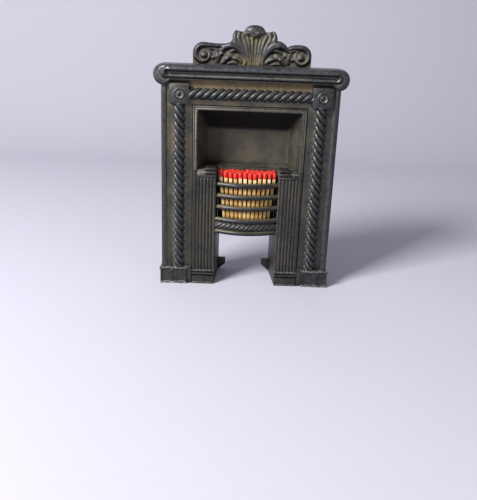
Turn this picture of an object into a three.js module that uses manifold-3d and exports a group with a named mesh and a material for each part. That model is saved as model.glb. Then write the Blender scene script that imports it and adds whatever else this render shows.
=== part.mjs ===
// A match holder in the shape of a small cast-iron hob grate: a rope-twist surround with a
// mantel shelf and a leafy crest, and a barred basket in which the matches stand.
// Millimetres, +Z up, +X to the right as the viewer sees it, the viewer on the -Y side.
// Every sub-part is drawn with y = 0 on the flat front of the surround. The group then moves
// them all, so that the origin lies on the table under the middle of the whole.
import * as THREE from 'three';
import { mergeVertices } from 'three/addons/utils/BufferGeometryUtils.js';
import Module from 'manifold-3d';

const wasm = await Module();
wasm.setup();

// Play between separate castings, and the depth by which joined forms run into each other
const CAST_GAP = 0.3;
const ROOT = 0.5;

// Surround casting
const BODY_WIDTH = 121.2;
const BODY_DEPTH = 15;
const BODY_HEIGHT = 146;
const FRONT_PLATE = 3;
const SIDE_PLATE = 2.6;
const TOP_PLATE = 3;
const EDGE_BEAD_WIDTH = 4;
const EDGE_BEAD_RISE = 1;
const COLUMN_INSET = 12.3;
const OPENING_INSET = 9.3;
const LINTEL_DROP = 9;
const OPENING_DROP = 7.5;

// Rope twist
const ROPE_RADIUS = 4.2;
const ROPE_STRANDS = 4;
const ROPE_PITCH = 5.2;
const ROPE_GROOVE = 1.1;
const ROPE_SUNK = 0.6;
const ROPE_RINGS = 9;
const STRAND_POINTS = 3;

// Corner blocks with their rosettes
const BLOCK_SIZE = 13.6;
const BLOCK_RISE = 3.4;
const ROSETTE_RADIUS = 3.9;
const ROSETTE_RISE = 0.9;
const ROSETTE_EYE = 1.5;

// Plinths at the feet of the columns
const PLINTH_HEIGHT = 12.6;
const PLINTH_RISE = 2.8;
const PLINTH_SIDE = 1;
const PLINTH_INNER_REACH = 5.7;
const PANEL_MARGIN = 1.6;
const PANEL_SUNK = 0.8;
const STEP_HEIGHT = 13.6;
const STEP_RISE = 1.6;

// Mantel shelf
const SHELF_HEIGHT = 10;
const SHELF_REACH = 9;
const NOSE_RADIUS = 2.1;
const COVE_DEPTH = 3.5;
const LOWER_BEAD_RADIUS = 1.5;
const LOWER_BEAD_BACK = 2.5;
const ROLL_RADIUS = 7;
const SHELF_OVERHANG = 5.6;
const ROLL_INSET = 5.1;

// Crest on the shelf; its fan stands a little to the right of the middle, as cast
const CREST_Y = 8;
const CREST_PLATE = 3.4;
const CREST_HALF = 40.1;
const CREST_HEIGHT = 25.9;
const FAN_SHIFT = 1.3;
const FAN_HALF = 17;
const VOLUTE_RADIUS = 7.1;
const VOLUTE_RISE = 2.2;
const VOLUTE_EYE = 2.2;
const LEAF_RISE = 2.4;
const LEAF_WIDTH = 3.2;
const RIB_WIDTH = 2.2;
const CURL_RISE = 3.4;
const TENON_X = 20;
const TENON_WIDTH = 7;
const TENON_DEPTH = 5;

// Fireback, the recess above the matches
const FRAME_WIDTH = 3;
const FRAME_RISE = 1.2;
const RECESS_DEPTH = 22;
const RECESS_SPLAY = 6.4;
const HOOD_DROP = 14.2;
const SHELL = 2.2;
const FLANGE_PLATE = 2;
const FLANGE_REACH = 13.6;
const SILL_RISE = 2.1;
const SILL_LIP = 1.6;
const SILL_LIP_DROP = 1.2;
const HOOD_SAG = 9.8;

// Hobs
const HOB_HEIGHT = 85.4;
const CAP_HEIGHT = 6.1;
const CAP_RISE = 1.2;
const CAP_CURVE = 4.4;
const TOP_THICKNESS = 2.4;
const REEDS = 5;
const REED_RADIUS = 0.95;
const EDGE_STRIP = 1.9;
const BASE_HEIGHT = 6.2;
const BASE_MOULD_TOP = 10.8;
const BASE_RISE = 1.8;
const CHEEK_DEPTH = 33;
const CHEEK_SPLAY = 2.85;
const CHEEK_PLATE = 2.4;
const PAD_WIDTH = 7.4;
const PAD_DEPTH = 8;
const PAD_BEAD = 1.2;
const PAD_RISE = 1.8;
const FOOT_REACH = 5.3;
const FOOT_HEIGHT = 9.4;
const FOOT_PLATE = 2.5;

// Basket: bars, rail, floor and back plate between the cheeks of the hobs
const BASKET_WIDTH = 44.7;
const BAR_NAMES = ['upper_bar', 'middle_bar', 'lower_bar'];
const UPPER_BAR_Z = 74.9;
const BAR_PITCH = 8.25;
const BAR_HEIGHT = 3.4;
const BAR_DEPTH = 2.8;
const BAR_END_Y = 2.8;
const BAR_BOW = 6.3;
const TENON_BITE = 1.6;
const RAIL_BOTTOM = 39;
const RAIL_HEIGHT = 12.3;
const RAIL_BACK = 2;
const RAIL_TENON_HEIGHT = 8;
const RAIL_BEAD = 1.7;
const RAIL_ROPE_RADIUS = 2.4;
const RAIL_ROPE_PITCH = 3.55;
const FLOOR_PLATE = 2;
const FLOOR_DROP = 7.1;
const BACK_PLATE = 2;
const WELL_DEPTH = 13.6;
const TAB_WIDTH = 5;
const TAB_BITE = 1.2;

// Matches
const MATCH_LENGTH = 40.2;
const STICK = 2.3;
const HEAD_RADIUS = 1.55;
const HEAD_LENGTH = 4.6;
const MATCH_GAP = 0.3;
const MATCH_STAGGER = 0.25;
const MATCHES_FEWER = { front: 0, second: 1, third: 0, fourth: 5 };

// Screws
const SCREW_RADIUS = 1.4;
const SCREW_PLAY = 0.3;
const SCREW_HEAD_RADIUS = 2.7;
const SCREW_HEAD_HEIGHT = 1.8;
const SCREW_SLOT = 0.7;
const SCREW_BITE = 3.6;
const SHELF_SCREW_INSET = 8.2;
const SHELF_SCREW_Y = 9;
const SHELF_SCREW_BITE = 5.5;
const UPPER_SCREW_DROP = 11.5;
const LOWER_SCREW_Z = 30;

// Places that several sub-parts share
const HALF = BODY_WIDTH / 2;
const ROLL_REACH = HALF + SHELF_OVERHANG;
const COLUMN_X = HALF - COLUMN_INSET;
const OPENING_HALF = COLUMN_X - OPENING_INSET;
const LINTEL_Z = BODY_HEIGHT - LINTEL_DROP;
const OPENING_TOP = LINTEL_Z - OPENING_DROP;
const RECESS_HALF = OPENING_HALF - FRAME_WIDTH;
const RECESS_TOP = OPENING_TOP - FRAME_WIDTH;
const UPPER_SCREW_Z = OPENING_TOP - UPPER_SCREW_DROP;
const PANEL_OUTER = OPENING_HALF - CAST_GAP;
const FLANGE_X = OPENING_HALF + FLANGE_REACH;
const FLANGE_BACK = FRONT_PLATE + FLANGE_PLATE;
const CAP_BOTTOM = HOB_HEIGHT - CAP_HEIGHT;
const FLOOR_TOP = RAIL_BOTTOM + RAIL_HEIGHT - FLOOR_DROP;
const BACK_PLATE_TOP = HOB_HEIGHT - CAST_GAP;
const SILL_DEPTH = RECESS_DEPTH - WELL_DEPTH - BACK_PLATE;
const SCREW_X = COLUMN_X;

// Solids from three.js geometry

function solidOf(geometry) {
  geometry.deleteAttribute('normal');
  geometry.deleteAttribute('uv');
  const merged = mergeVertices(geometry, 1e-5);
  const corners = merged.index.array;
  const faces = [];
  for (let i = 0; i < corners.length; i += 3) {
    const [a, b, c] = [corners[i], corners[i + 1], corners[i + 2]];
    if (a !== b && b !== c && a !== c) faces.push(a, b, c);
  }
  return new wasm.Manifold(new wasm.Mesh({
    numProp: 3,
    vertProperties: new Float32Array(merged.attributes.position.array),
    triVerts: new Uint32Array(faces),
  }));
}

function join(...solids) {
  return solids.reduce((sum, solid) => sum.add(solid));
}

function cut(solid, ...tools) {
  return tools.reduce((rest, tool) => rest.subtract(tool), solid);
}

function block(x0, x1, y0, y1, z0, z1) {
  const geometry = new THREE.BoxGeometry(x1 - x0, y1 - y0, z1 - z0);
  geometry.translate((x0 + x1) / 2, (y0 + y1) / 2, (z0 + z1) / 2);
  return solidOf(geometry);
}

function shapeOf(points) {
  return new THREE.Shape(points.map(([u, v]) => new THREE.Vector2(u, v)));
}

function extrude(shape, depth, basis, offset) {
  const geometry = new THREE.ExtrudeGeometry(shape, { depth, bevelEnabled: false });
  geometry.applyMatrix4(new THREE.Matrix4().makeBasis(...basis));
  geometry.translate(...offset);
  return solidOf(geometry);
}

const ALONG = {
  x: new THREE.Vector3(1, 0, 0),
  y: new THREE.Vector3(0, 1, 0),
  z: new THREE.Vector3(0, 0, 1),
};

// An outline of [x, y] points, standing from z0 to z1
function upright(points, z0, z1) {
  return extrude(shapeOf(points), z1 - z0, [ALONG.x, ALONG.y, ALONG.z], [0, 0, z0]);
}

// A profile of [y, z] points, running from x0 to x1
function moulding(points, x0, x1) {
  return extrude(shapeOf(points), x1 - x0, [ALONG.y, ALONG.z, ALONG.x], [x0, 0, 0]);
}

// A face in [x, z], from y0 back to y1
function slab(shape, y0, y1) {
  return extrude(shape, y1 - y0, [ALONG.x, ALONG.z, ALONG.y.clone().negate()], [0, y1, 0]);
}

function arc(cx, cy, radius, from, to, steps) {
  return Array.from({ length: steps + 1 }, (_, i) => {
    const angle = THREE.MathUtils.degToRad(from + ((to - from) * i) / steps);
    return [cx + radius * Math.cos(angle), cy + radius * Math.sin(angle)];
  });
}

function circle(cx, cy, radius, count) {
  return arc(cx, cy, radius, 0, 360, count).slice(0, -1);
}

// A closed body through equal rings of Vector3 points, each ring convex or star-shaped
function loft(rings) {
  const count = rings[0].length;
  const centres = [rings[0], rings.at(-1)].map((ring) => (
    ring.reduce((sum, point) => sum.add(point), new THREE.Vector3()).divideScalar(count)
  ));
  const points = [...rings.flat(), ...centres];
  const [first, last] = [rings.length * count, rings.length * count + 1];
  const faces = [];
  for (let i = 0; i < count; i++) {
    const next = (i + 1) % count;
    for (let ring = 0; ring < rings.length - 1; ring++) {
      const [a, b] = [ring * count + i, ring * count + next];
      faces.push(a, b, b + count, a, b + count, a + count);
    }
    const end = (rings.length - 1) * count;
    faces.push(next, i, first, end + i, end + next, last);
  }
  const geometry = new THREE.BufferGeometry().setFromPoints(points);
  geometry.setIndex(faces);
  const solid = solidOf(geometry);
  return solid.volume() > 0 ? solid : solidOf(turnedOut(geometry));
}

function turnedOut(geometry) {
  const flipped = Array.from(geometry.index.array);
  for (let i = 0; i < flipped.length; i += 3) {
    [flipped[i], flipped[i + 1]] = [flipped[i + 1], flipped[i]];
  }
  return geometry.clone().setIndex(flipped);
}

// A body through upright rectangles, each given as its y, half width, bottom and top
function taper(...rectangles) {
  return loft(rectangles.map(([y, half, low, high]) => [
    new THREE.Vector3(-half, y, low),
    new THREE.Vector3(half, y, low),
    new THREE.Vector3(half, y, high),
    new THREE.Vector3(-half, y, high),
  ]));
}

// A twisted rope between two points, or along a curve given as a function of 0 to 1
function rope(route, length, radius, pitch, groove, across, up) {
  const lead = pitch * ROPE_STRANDS;
  const steps = Math.ceil((length / lead) * ROPE_RINGS);
  const count = ROPE_STRANDS * STRAND_POINTS;
  const rings = [];
  for (let step = 0; step <= steps; step++) {
    const share = step / steps;
    const turn = (share * length * 2 * Math.PI) / lead;
    const ring = [];
    for (let i = 0; i < count; i++) {
      const angle = (i * 2 * Math.PI) / count;
      const reach = i % STRAND_POINTS === 0 ? radius - groove : radius;
      ring.push(route(share)
        .addScaledVector(across(share), reach * Math.cos(angle + turn))
        .addScaledVector(up, reach * Math.sin(angle + turn)));
    }
    rings.push(ring);
  }
  return loft(rings);
}

function straightRope(from, to, radius, pitch, groove, up) {
  const along = to.clone().sub(from);
  const across = along.clone().normalize().cross(up);
  return rope(
    (share) => from.clone().addScaledVector(along, share),
    along.length(), radius, pitch, groove, () => across, up,
  );
}

// A turned form of [radius, height] points, standing on a point and pointing along an axis
function turned(profile, place, axis, steps = 16) {
  const points = profile.map(([r, h]) => new THREE.Vector2(r, h));
  const geometry = new THREE.LatheGeometry(points, steps);
  geometry.applyQuaternion(new THREE.Quaternion().setFromUnitVectors(ALONG.y, axis));
  geometry.translate(place.x, place.y, place.z);
  const solid = solidOf(geometry);
  return solid.volume() > 0 ? solid : solidOf(turnedOut(geometry));
}

function mirrored(solid) {
  return solid.mirror([1, 0, 0]);
}

// Materials

function castIron(colour, roughness) {
  return new THREE.MeshStandardMaterial({ color: colour, roughness, metalness: 0.75 });
}

const IRON = castIron('#3a3a3b', 0.5);
const FLAT_IRON = castIron('#37332c', 0.65);
const FIREBACK_IRON = castIron('#2c2b29', 0.7);
const SCREW_STEEL = new THREE.MeshStandardMaterial({ color: '#56534e', roughness: 0.45, metalness: 0.9 });
const MATCH_WOOD = new THREE.MeshStandardMaterial({ color: '#e9cf95', roughness: 0.8, metalness: 0 });

const holder = new THREE.Group();
holder.name = 'match_holder';
holder.position.y = (SHELF_REACH - CHEEK_DEPTH) / 2;

function addPiece(name, solid, material) {
  const { numProp, vertProperties, triVerts } = solid.getMesh();
  const geometry = new THREE.BufferGeometry();
  const data = new THREE.InterleavedBuffer(vertProperties, numProp);
  geometry.setAttribute('position', new THREE.InterleavedBufferAttribute(data, 3, 0));
  geometry.setIndex(new THREE.BufferAttribute(triVerts, 1));
  geometry.computeVertexNormals();
  const mesh = new THREE.Mesh(geometry, material);
  mesh.name = name;
  holder.add(mesh);
  return mesh;
}

// Screws: a slotted round head on a plain shank, the head seated at a point

function screw(seat, axis, shank) {
  const body = turned([
    [0, -shank],
    [SCREW_RADIUS, -shank],
    [SCREW_RADIUS, 0],
    [SCREW_HEAD_RADIUS, 0],
    [SCREW_HEAD_RADIUS, SCREW_HEAD_HEIGHT * 0.5],
    [SCREW_HEAD_RADIUS * 0.6, SCREW_HEAD_HEIGHT],
    [0, SCREW_HEAD_HEIGHT],
  ], seat, axis, 12);
  const top = seat.clone().addScaledVector(axis, SCREW_HEAD_HEIGHT);
  const reach = SCREW_HEAD_RADIUS + ROOT;
  const across = { x: reach, y: SCREW_SLOT / 2, z: SCREW_SLOT / 2 };
  across[Math.abs(axis.y) > Math.abs(axis.z) ? 'y' : 'z'] = SCREW_SLOT;
  const slot = block(
    top.x - across.x, top.x + across.x,
    top.y - across.y, top.y + across.y,
    top.z - across.z, top.z + across.z,
  );
  return cut(body, slot);
}

// A round hole from one side of a point to the other along an axis
function screwHole(seat, axis, depth, behind) {
  const radius = SCREW_RADIUS + SCREW_PLAY;
  const profile = [[0, -depth - SCREW_PLAY], [radius, -depth - SCREW_PLAY], [radius, behind], [0, behind]];
  return turned(profile, seat, axis, 12);
}

const BACKWARD = ALONG.y;
const DOWNWARD = ALONG.z.clone().negate();

const flangeScrews = [
  ['upper_left_screw', -SCREW_X, UPPER_SCREW_Z],
  ['upper_right_screw', SCREW_X, UPPER_SCREW_Z],
  ['lower_left_screw', -SCREW_X, LOWER_SCREW_Z],
  ['lower_right_screw', SCREW_X, LOWER_SCREW_Z],
].map(([name, x, z]) => ({
  name,
  seat: new THREE.Vector3(x, FLANGE_BACK, z),
  axis: BACKWARD,
  shank: FLANGE_PLATE + SCREW_BITE,
}));

const shelfScrews = [['left_shelf_screw', -1], ['right_shelf_screw', 1]].map(([name, side]) => ({
  name,
  seat: new THREE.Vector3(side * (HALF - SHELF_SCREW_INSET), SHELF_SCREW_Y, BODY_HEIGHT - TOP_PLATE),
  axis: DOWNWARD,
  shank: TOP_PLATE + SHELF_SCREW_BITE,
}));

const holesFor = (screws) => screws.map((one) => screwHole(one.seat, one.axis, one.shank, ROOT));

// Surround

function rosette(x) {
  const ring = [
    [0, -ROOT],
    [ROSETTE_RADIUS, -ROOT],
    [ROSETTE_RADIUS, ROSETTE_RISE * 0.5],
    [ROSETTE_RADIUS * 0.82, ROSETTE_RISE],
    [ROSETTE_RADIUS * 0.6, ROSETTE_RISE * 0.3],
    [ROSETTE_EYE, ROSETTE_RISE * 0.3],
    [ROSETTE_EYE * 0.7, ROSETTE_RISE],
    [0, ROSETTE_RISE],
  ];
  const place = new THREE.Vector3(x, -BLOCK_RISE, LINTEL_Z);
  return turned(ring, place, ALONG.y.clone().negate());
}

function cornerBlock(side) {
  const [x, half] = [side * COLUMN_X, BLOCK_SIZE / 2];
  return join(
    block(x - half, x + half, -BLOCK_RISE, ROOT, LINTEL_Z - half, LINTEL_Z + half),
    rosette(x),
  );
}

function column(side) {
  const x = side * COLUMN_X;
  const top = LINTEL_Z - BLOCK_SIZE / 2 + ROOT;
  return straightRope(
    new THREE.Vector3(x, ROPE_SUNK, PLINTH_HEIGHT - ROOT),
    new THREE.Vector3(x, ROPE_SUNK, top),
    ROPE_RADIUS, ROPE_PITCH, ROPE_GROOVE, ALONG.x,
  );
}

function lintel() {
  const end = COLUMN_X - BLOCK_SIZE / 2 + ROOT;
  return straightRope(
    new THREE.Vector3(end, ROPE_SUNK, LINTEL_Z),
    new THREE.Vector3(-end, ROPE_SUNK, LINTEL_Z),
    ROPE_RADIUS, ROPE_PITCH, ROPE_GROOVE, ALONG.z,
  );
}

function rightPlinth() {
  const inner = COLUMN_X - PLINTH_INNER_REACH;
  const outer = HALF + PLINTH_SIDE;
  const divide = COLUMN_X + ROPE_RADIUS + PANEL_MARGIN / 2;
  const sill = PANEL_MARGIN * 2;
  const panel = (x0, x1) => block(
    x0, x1, -PLINTH_RISE - ROOT, PANEL_SUNK - PLINTH_RISE, sill, PLINTH_HEIGHT - sill,
  );
  const solid = join(
    block(inner, outer, -PLINTH_RISE, FRONT_PLATE, 0, PLINTH_HEIGHT),
    block(HALF - ROOT, outer, 0, BODY_DEPTH, 0, PLINTH_HEIGHT),
    block(OPENING_HALF, inner + ROOT, -STEP_RISE, FRONT_PLATE, 0, STEP_HEIGHT),
  );
  return cut(
    solid,
    panel(inner + PANEL_MARGIN, divide - PANEL_MARGIN / 2),
    panel(divide + PANEL_MARGIN / 2, outer - PANEL_MARGIN),
  );
}

// Ropes lie half sunk in the front, so nothing of them comes out behind it
function sunk(ropes) {
  return ropes.intersect(block(-HALF, HALF, -ROPE_RADIUS, ROOT * 2, 0, BODY_HEIGHT));
}

function surround() {
  const front = shapeOf([
    [-HALF, 0], [-OPENING_HALF, 0], [-OPENING_HALF, OPENING_TOP], [OPENING_HALF, OPENING_TOP],
    [OPENING_HALF, 0], [HALF, 0], [HALF, BODY_HEIGHT], [-HALF, BODY_HEIGHT],
  ]);
  const rightWall = join(
    block(HALF - SIDE_PLATE, HALF, ROOT, BODY_DEPTH, 0, BODY_HEIGHT),
    block(HALF - EDGE_BEAD_WIDTH, HALF, -EDGE_BEAD_RISE, ROOT, 0, BODY_HEIGHT),
    rightPlinth(),
  );
  return cut(
    join(
      slab(front, 0, FRONT_PLATE),
      rightWall,
      mirrored(rightWall),
      block(-HALF, HALF, ROOT, BODY_DEPTH, BODY_HEIGHT - TOP_PLATE, BODY_HEIGHT),
      sunk(join(column(1), column(-1), lintel())),
      cornerBlock(1),
      cornerBlock(-1),
    ),
    ...holesFor(flangeScrews),
    ...holesFor(shelfScrews),
  );
}

addPiece('surround', surround(), IRON);

// Mantel shelf: a moulded front between two rolled ends that lap over the surround's corners

const SHELF_TOP = BODY_HEIGHT + SHELF_HEIGHT;
const ROLL_X = ROLL_REACH - ROLL_RADIUS;
const ROLL_Z = SHELF_TOP - ROLL_RADIUS;

function shelfProfile() {
  const nose = arc(NOSE_RADIUS - SHELF_REACH, SHELF_TOP - NOSE_RADIUS, NOSE_RADIUS, 90, 270, 6);
  const coveY = COVE_DEPTH - SHELF_REACH;
  const beadY = LOWER_BEAD_BACK - SHELF_REACH + LOWER_BEAD_RADIUS;
  const bead = arc(beadY, BODY_HEIGHT + LOWER_BEAD_RADIUS, LOWER_BEAD_RADIUS, 90, 270, 5);
  return [
    [BODY_DEPTH, SHELF_TOP],
    ...nose,
    [coveY, SHELF_TOP - 2 * NOSE_RADIUS],
    [coveY, BODY_HEIGHT + 2 * LOWER_BEAD_RADIUS],
    ...bead,
    [BODY_DEPTH, BODY_HEIGHT],
  ];
}

// The cove ends in a half circle here, and the face swells round it into a blunt knob
const COVE_END_X = ROLL_X - ROLL_INSET;
const COVE_Z = (SHELF_TOP - 2 * NOSE_RADIUS + BODY_HEIGHT + 2 * LOWER_BEAD_RADIUS) / 2;

// From the end of the cove out to the edge of the knob, at an angle up from the outward side
function knobReach(angle) {
  const [out, up] = [Math.cos(angle), Math.sin(angle)];
  const along = -out * ROLL_INSET + up * (COVE_Z - ROLL_Z);
  const square = ROLL_INSET ** 2 + (COVE_Z - ROLL_Z) ** 2;
  const reach = Math.sqrt(along ** 2 - square + ROLL_RADIUS ** 2) - along;
  return up > 0 && out * reach < ROLL_INSET ? (SHELF_TOP - COVE_Z) / up : reach;
}

// How far out on the face, and how far forward there above the cove, beside it and below it
const KNOB_FACE = [
  [0.25, 5.5, 5.5, 5.5],
  [0.4, 8.6, 5.8, 6.4],
  [0.6, 9, 7.5, 6.4],
  [0.7, 8.9, 7.9, 6],
  [0.85, 8.3, 6.2, 5.4],
  [0.94, 7.6, 3.8, 4.8],
  [1, 6.9, 0.6, 4],
];

function rolledEnd(side) {
  const rise = SHELF_TOP - COVE_Z;
  const widest = Math.atan2(ROLL_Z - COVE_Z, ROLL_REACH - COVE_END_X);
  const angles = Array.from({ length: 24 }, (_, i) => widest + (i * Math.PI) / 12);
  const ring = (share, yOf) => angles.map((angle) => {
    const [out, up] = [Math.cos(angle), Math.sin(angle)];
    const edge = out > 0 ? knobReach(angle) : rise;
    const radius = share * rise + share ** 4 * (edge - rise);
    return new THREE.Vector3(side * (COVE_END_X + out * radius), yOf(up), COVE_Z + up * radius);
  });
  const knob = loft([
    ...KNOB_FACE.map(([share, above, beside, below]) => ring(
      share, (up) => -(up > 0 ? above : below) * up ** 2 - beside * (1 - up ** 2),
    )),
    ring(1, () => BODY_DEPTH),
  ]);
  const inner = side * COVE_END_X;
  const outer = side * (ROLL_REACH + ROOT);
  return knob.intersect(block(
    Math.min(inner, outer), Math.max(inner, outer), -SHELF_REACH - ROOT, BODY_DEPTH + ROOT,
    ROLL_Z - 2 * ROLL_RADIUS, SHELF_TOP + ROOT,
  ));
}

// Room for the surround's top corner and its corner block below the rolled end
function cornerRoom(side) {
  const half = BLOCK_SIZE / 2 + CAST_GAP;
  const reach = (HALF + CAST_GAP) * side;
  const x = side * COLUMN_X;
  return join(
    block(
      Math.min(0, reach), Math.max(0, reach), -EDGE_BEAD_RISE - CAST_GAP, BODY_DEPTH + ROOT,
      ROLL_Z - 2 * ROLL_RADIUS, BODY_HEIGHT,
    ),
    block(
      x - half, x + half, -SHELF_REACH - ROOT, ROOT, ROLL_Z - 2 * ROLL_RADIUS, LINTEL_Z + half,
    ),
  );
}

const CREST_BACK = CREST_Y + VOLUTE_RISE + CREST_PLATE;

function crestTenon(side, play) {
  return block(
    side * TENON_X - TENON_WIDTH / 2 - play, side * TENON_X + TENON_WIDTH / 2 + play,
    CREST_BACK - CREST_PLATE - play, CREST_BACK + play,
    SHELF_TOP - TENON_DEPTH - play, SHELF_TOP + ROOT,
  );
}

addPiece('mantel_shelf', cut(
  join(moulding(shelfProfile(), -COVE_END_X, COVE_END_X), rolledEnd(1), rolledEnd(-1)),
  cornerRoom(1),
  cornerRoom(-1),
  crestTenon(1, CAST_GAP),
  crestTenon(-1, CAST_GAP),
  ...holesFor(shelfScrews),
), IRON);

// Crest: a shaped plate with two volutes, a fluted fan with a curled tip, leaves and buds

const VOLUTE_X = CREST_HALF - VOLUTE_RADIUS;
const CREST_FACE = CREST_BACK - CREST_PLATE;

// A place on the crest, from its middle and up from the shelf, on the left (-1) or the right (1)
function crestPoint(side, x, up) {
  const fade = Math.min(1, (VOLUTE_X - x) / (VOLUTE_X - FAN_HALF));
  return new THREE.Vector2(side * x + FAN_SHIFT * Math.max(0, fade), SHELF_TOP + up);
}

// Between volute and fan: the curves of the outline, of the scroll and of the leaf that lies over it
const LEFT_SHOULDER = {
  edge: [[24, 13.2, 20, 13.6], [15.4, 14.1, 14.9, 17]],
  scroll: [[31, 12.4], [22, 10.5], [15, 11.5], [13, 16]],
  leaf: [[25, 9.5], [18, 12.8], [9, 14.5], [5.6, 7.5]],
};
const RIGHT_SHOULDER = {
  edge: [[25.6, 14.6, 22.8, 12.3], [20.6, 15.8, 15.2, 16.6]],
  scroll: [[31, 12.4], [25, 12], [20, 8.5], [16, 9.5]],
  leaf: [[22.4, 10.8], [19, 14.6], [10, 15.2], [5.6, 7.5]],
};

function crestHalf(shoulder) {
  const half = new THREE.Path();
  half.moveTo(CREST_HALF, 0);
  half.lineTo(CREST_HALF, VOLUTE_RADIUS);
  half.absarc(VOLUTE_X, VOLUTE_RADIUS, VOLUTE_RADIUS, 0, Math.PI / 2);
  shoulder.edge.forEach((curve) => half.quadraticCurveTo(...curve));
  half.quadraticCurveTo(15.4, 20.6, 12.5, 22.5);
  half.quadraticCurveTo(9.6, 21.2, 7, 21.8);
  half.quadraticCurveTo(5.8, CREST_HEIGHT, 0, CREST_HEIGHT);
  return half.getPoints(4);
}

function crestOutline() {
  const right = crestHalf(RIGHT_SHOULDER).map(({ x, y }) => crestPoint(1, x, y));
  const left = crestHalf(LEFT_SHOULDER).slice(0, -1).map(({ x, y }) => crestPoint(-1, x, y));
  return new THREE.Shape([...right, ...left.reverse()]);
}

function boss(profile, centre, steps) {
  const place = new THREE.Vector3(centre.x, CREST_FACE, centre.y);
  return turned([[0, -ROOT], [profile[0][0], -ROOT], ...profile], place, ALONG.y.clone().negate(), steps);
}

function volute(side) {
  const [radius, rise] = [VOLUTE_RADIUS, VOLUTE_RISE];
  return join(
    boss([
      [radius, rise * 0.4],
      [radius * 0.8, rise],
      [radius * 0.62, rise * 0.9],
      [radius * 0.5, rise * 0.2],
      [0, rise * 0.2],
    ], crestPoint(side, VOLUTE_X, radius), 16),
    boss([
      [VOLUTE_EYE, rise * 0.4],
      [VOLUTE_EYE * 0.6, rise],
      [0, rise],
    ], crestPoint(side, VOLUTE_X, radius - VOLUTE_EYE * 0.6), 10),
  );
}

// A rounded bud of the spray below the leaves
function bud(side, x, up, radius) {
  return boss([
    [radius, radius * 0.3],
    [radius * 0.7, radius * 0.75],
    [0, radius * 0.9],
  ], crestPoint(side, x, up), 8);
}

// A rounded ridge standing out of the crest along a curve, thin at its ends
function ridge(curve, width, rise, steps = 5) {
  const section = [[-1, 0], [-0.8, 0.7], [0, 1], [0.8, 0.7], [1, 0]];
  return loft(Array.from({ length: steps + 1 }, (_, step) => {
    const share = step / steps;
    const swell = 0.35 + 0.65 * Math.sin(Math.PI * (0.12 + 0.76 * share));
    const at = curve.getPoint(share);
    const along = curve.getTangent(share);
    return section.map(([u, v]) => new THREE.Vector3(
      at.x + (along.y * u * width * swell) / 2,
      CREST_FACE + ROOT - v * (rise * swell + ROOT),
      at.y - (along.x * u * width * swell) / 2,
    ));
  }));
}

function bend(side, points) {
  return new THREE.CubicBezierCurve(...points.map(([x, up]) => crestPoint(side, x, up)));
}

function crestSide(side, shoulder) {
  const scroll = bend(side, shoulder.scroll);
  const leaf = bend(side, shoulder.leaf);
  const tip = bend(side, [[4.6, 3], [5.2, 11], [9.6, 13], [12.2, 21]]);
  const inner = bend(side, [[1.4, 1], [1.6, 9], [2.6, 14], [4, 18.5]]);
  const outer = bend(side, [[3.1, 1], [3.4, 9], [5.2, 14], [8.4, 18.8]]);
  return join(
    volute(side),
    ridge(scroll, LEAF_WIDTH, LEAF_RISE),
    ridge(leaf, LEAF_WIDTH, LEAF_RISE),
    ridge(tip, LEAF_WIDTH, LEAF_RISE),
    ridge(inner, RIB_WIDTH, LEAF_RISE),
    ridge(outer, RIB_WIDTH, LEAF_RISE),
    bud(side, 22.4, 6.4, 2.3),
    bud(side, 17.2, 4.9, 2.6),
    bud(side, 12.8, 6.2, 2.3),
    bud(side, 9.2, 3.6, 2),
  );
}

function curl() {
  const left = crestPoint(-1, 4.6, 20.2);
  const right = crestPoint(1, 4.6, 20.2);
  const over = crestPoint(1, 0, CREST_HEIGHT + 1);
  return ridge(new THREE.QuadraticBezierCurve(left, over, right), LEAF_WIDTH * 1.3, CURL_RISE, 6);
}

addPiece('crest', join(
  slab(crestOutline(), CREST_FACE, CREST_BACK),
  crestSide(1, RIGHT_SHOULDER),
  crestSide(-1, LEFT_SHOULDER),
  curl(),
  crestTenon(1, 0),
  crestTenon(-1, 0),
), IRON);

// Fireback: framed mouth, splayed cheeks, sloping hood and back wall, open at the front and below

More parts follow.
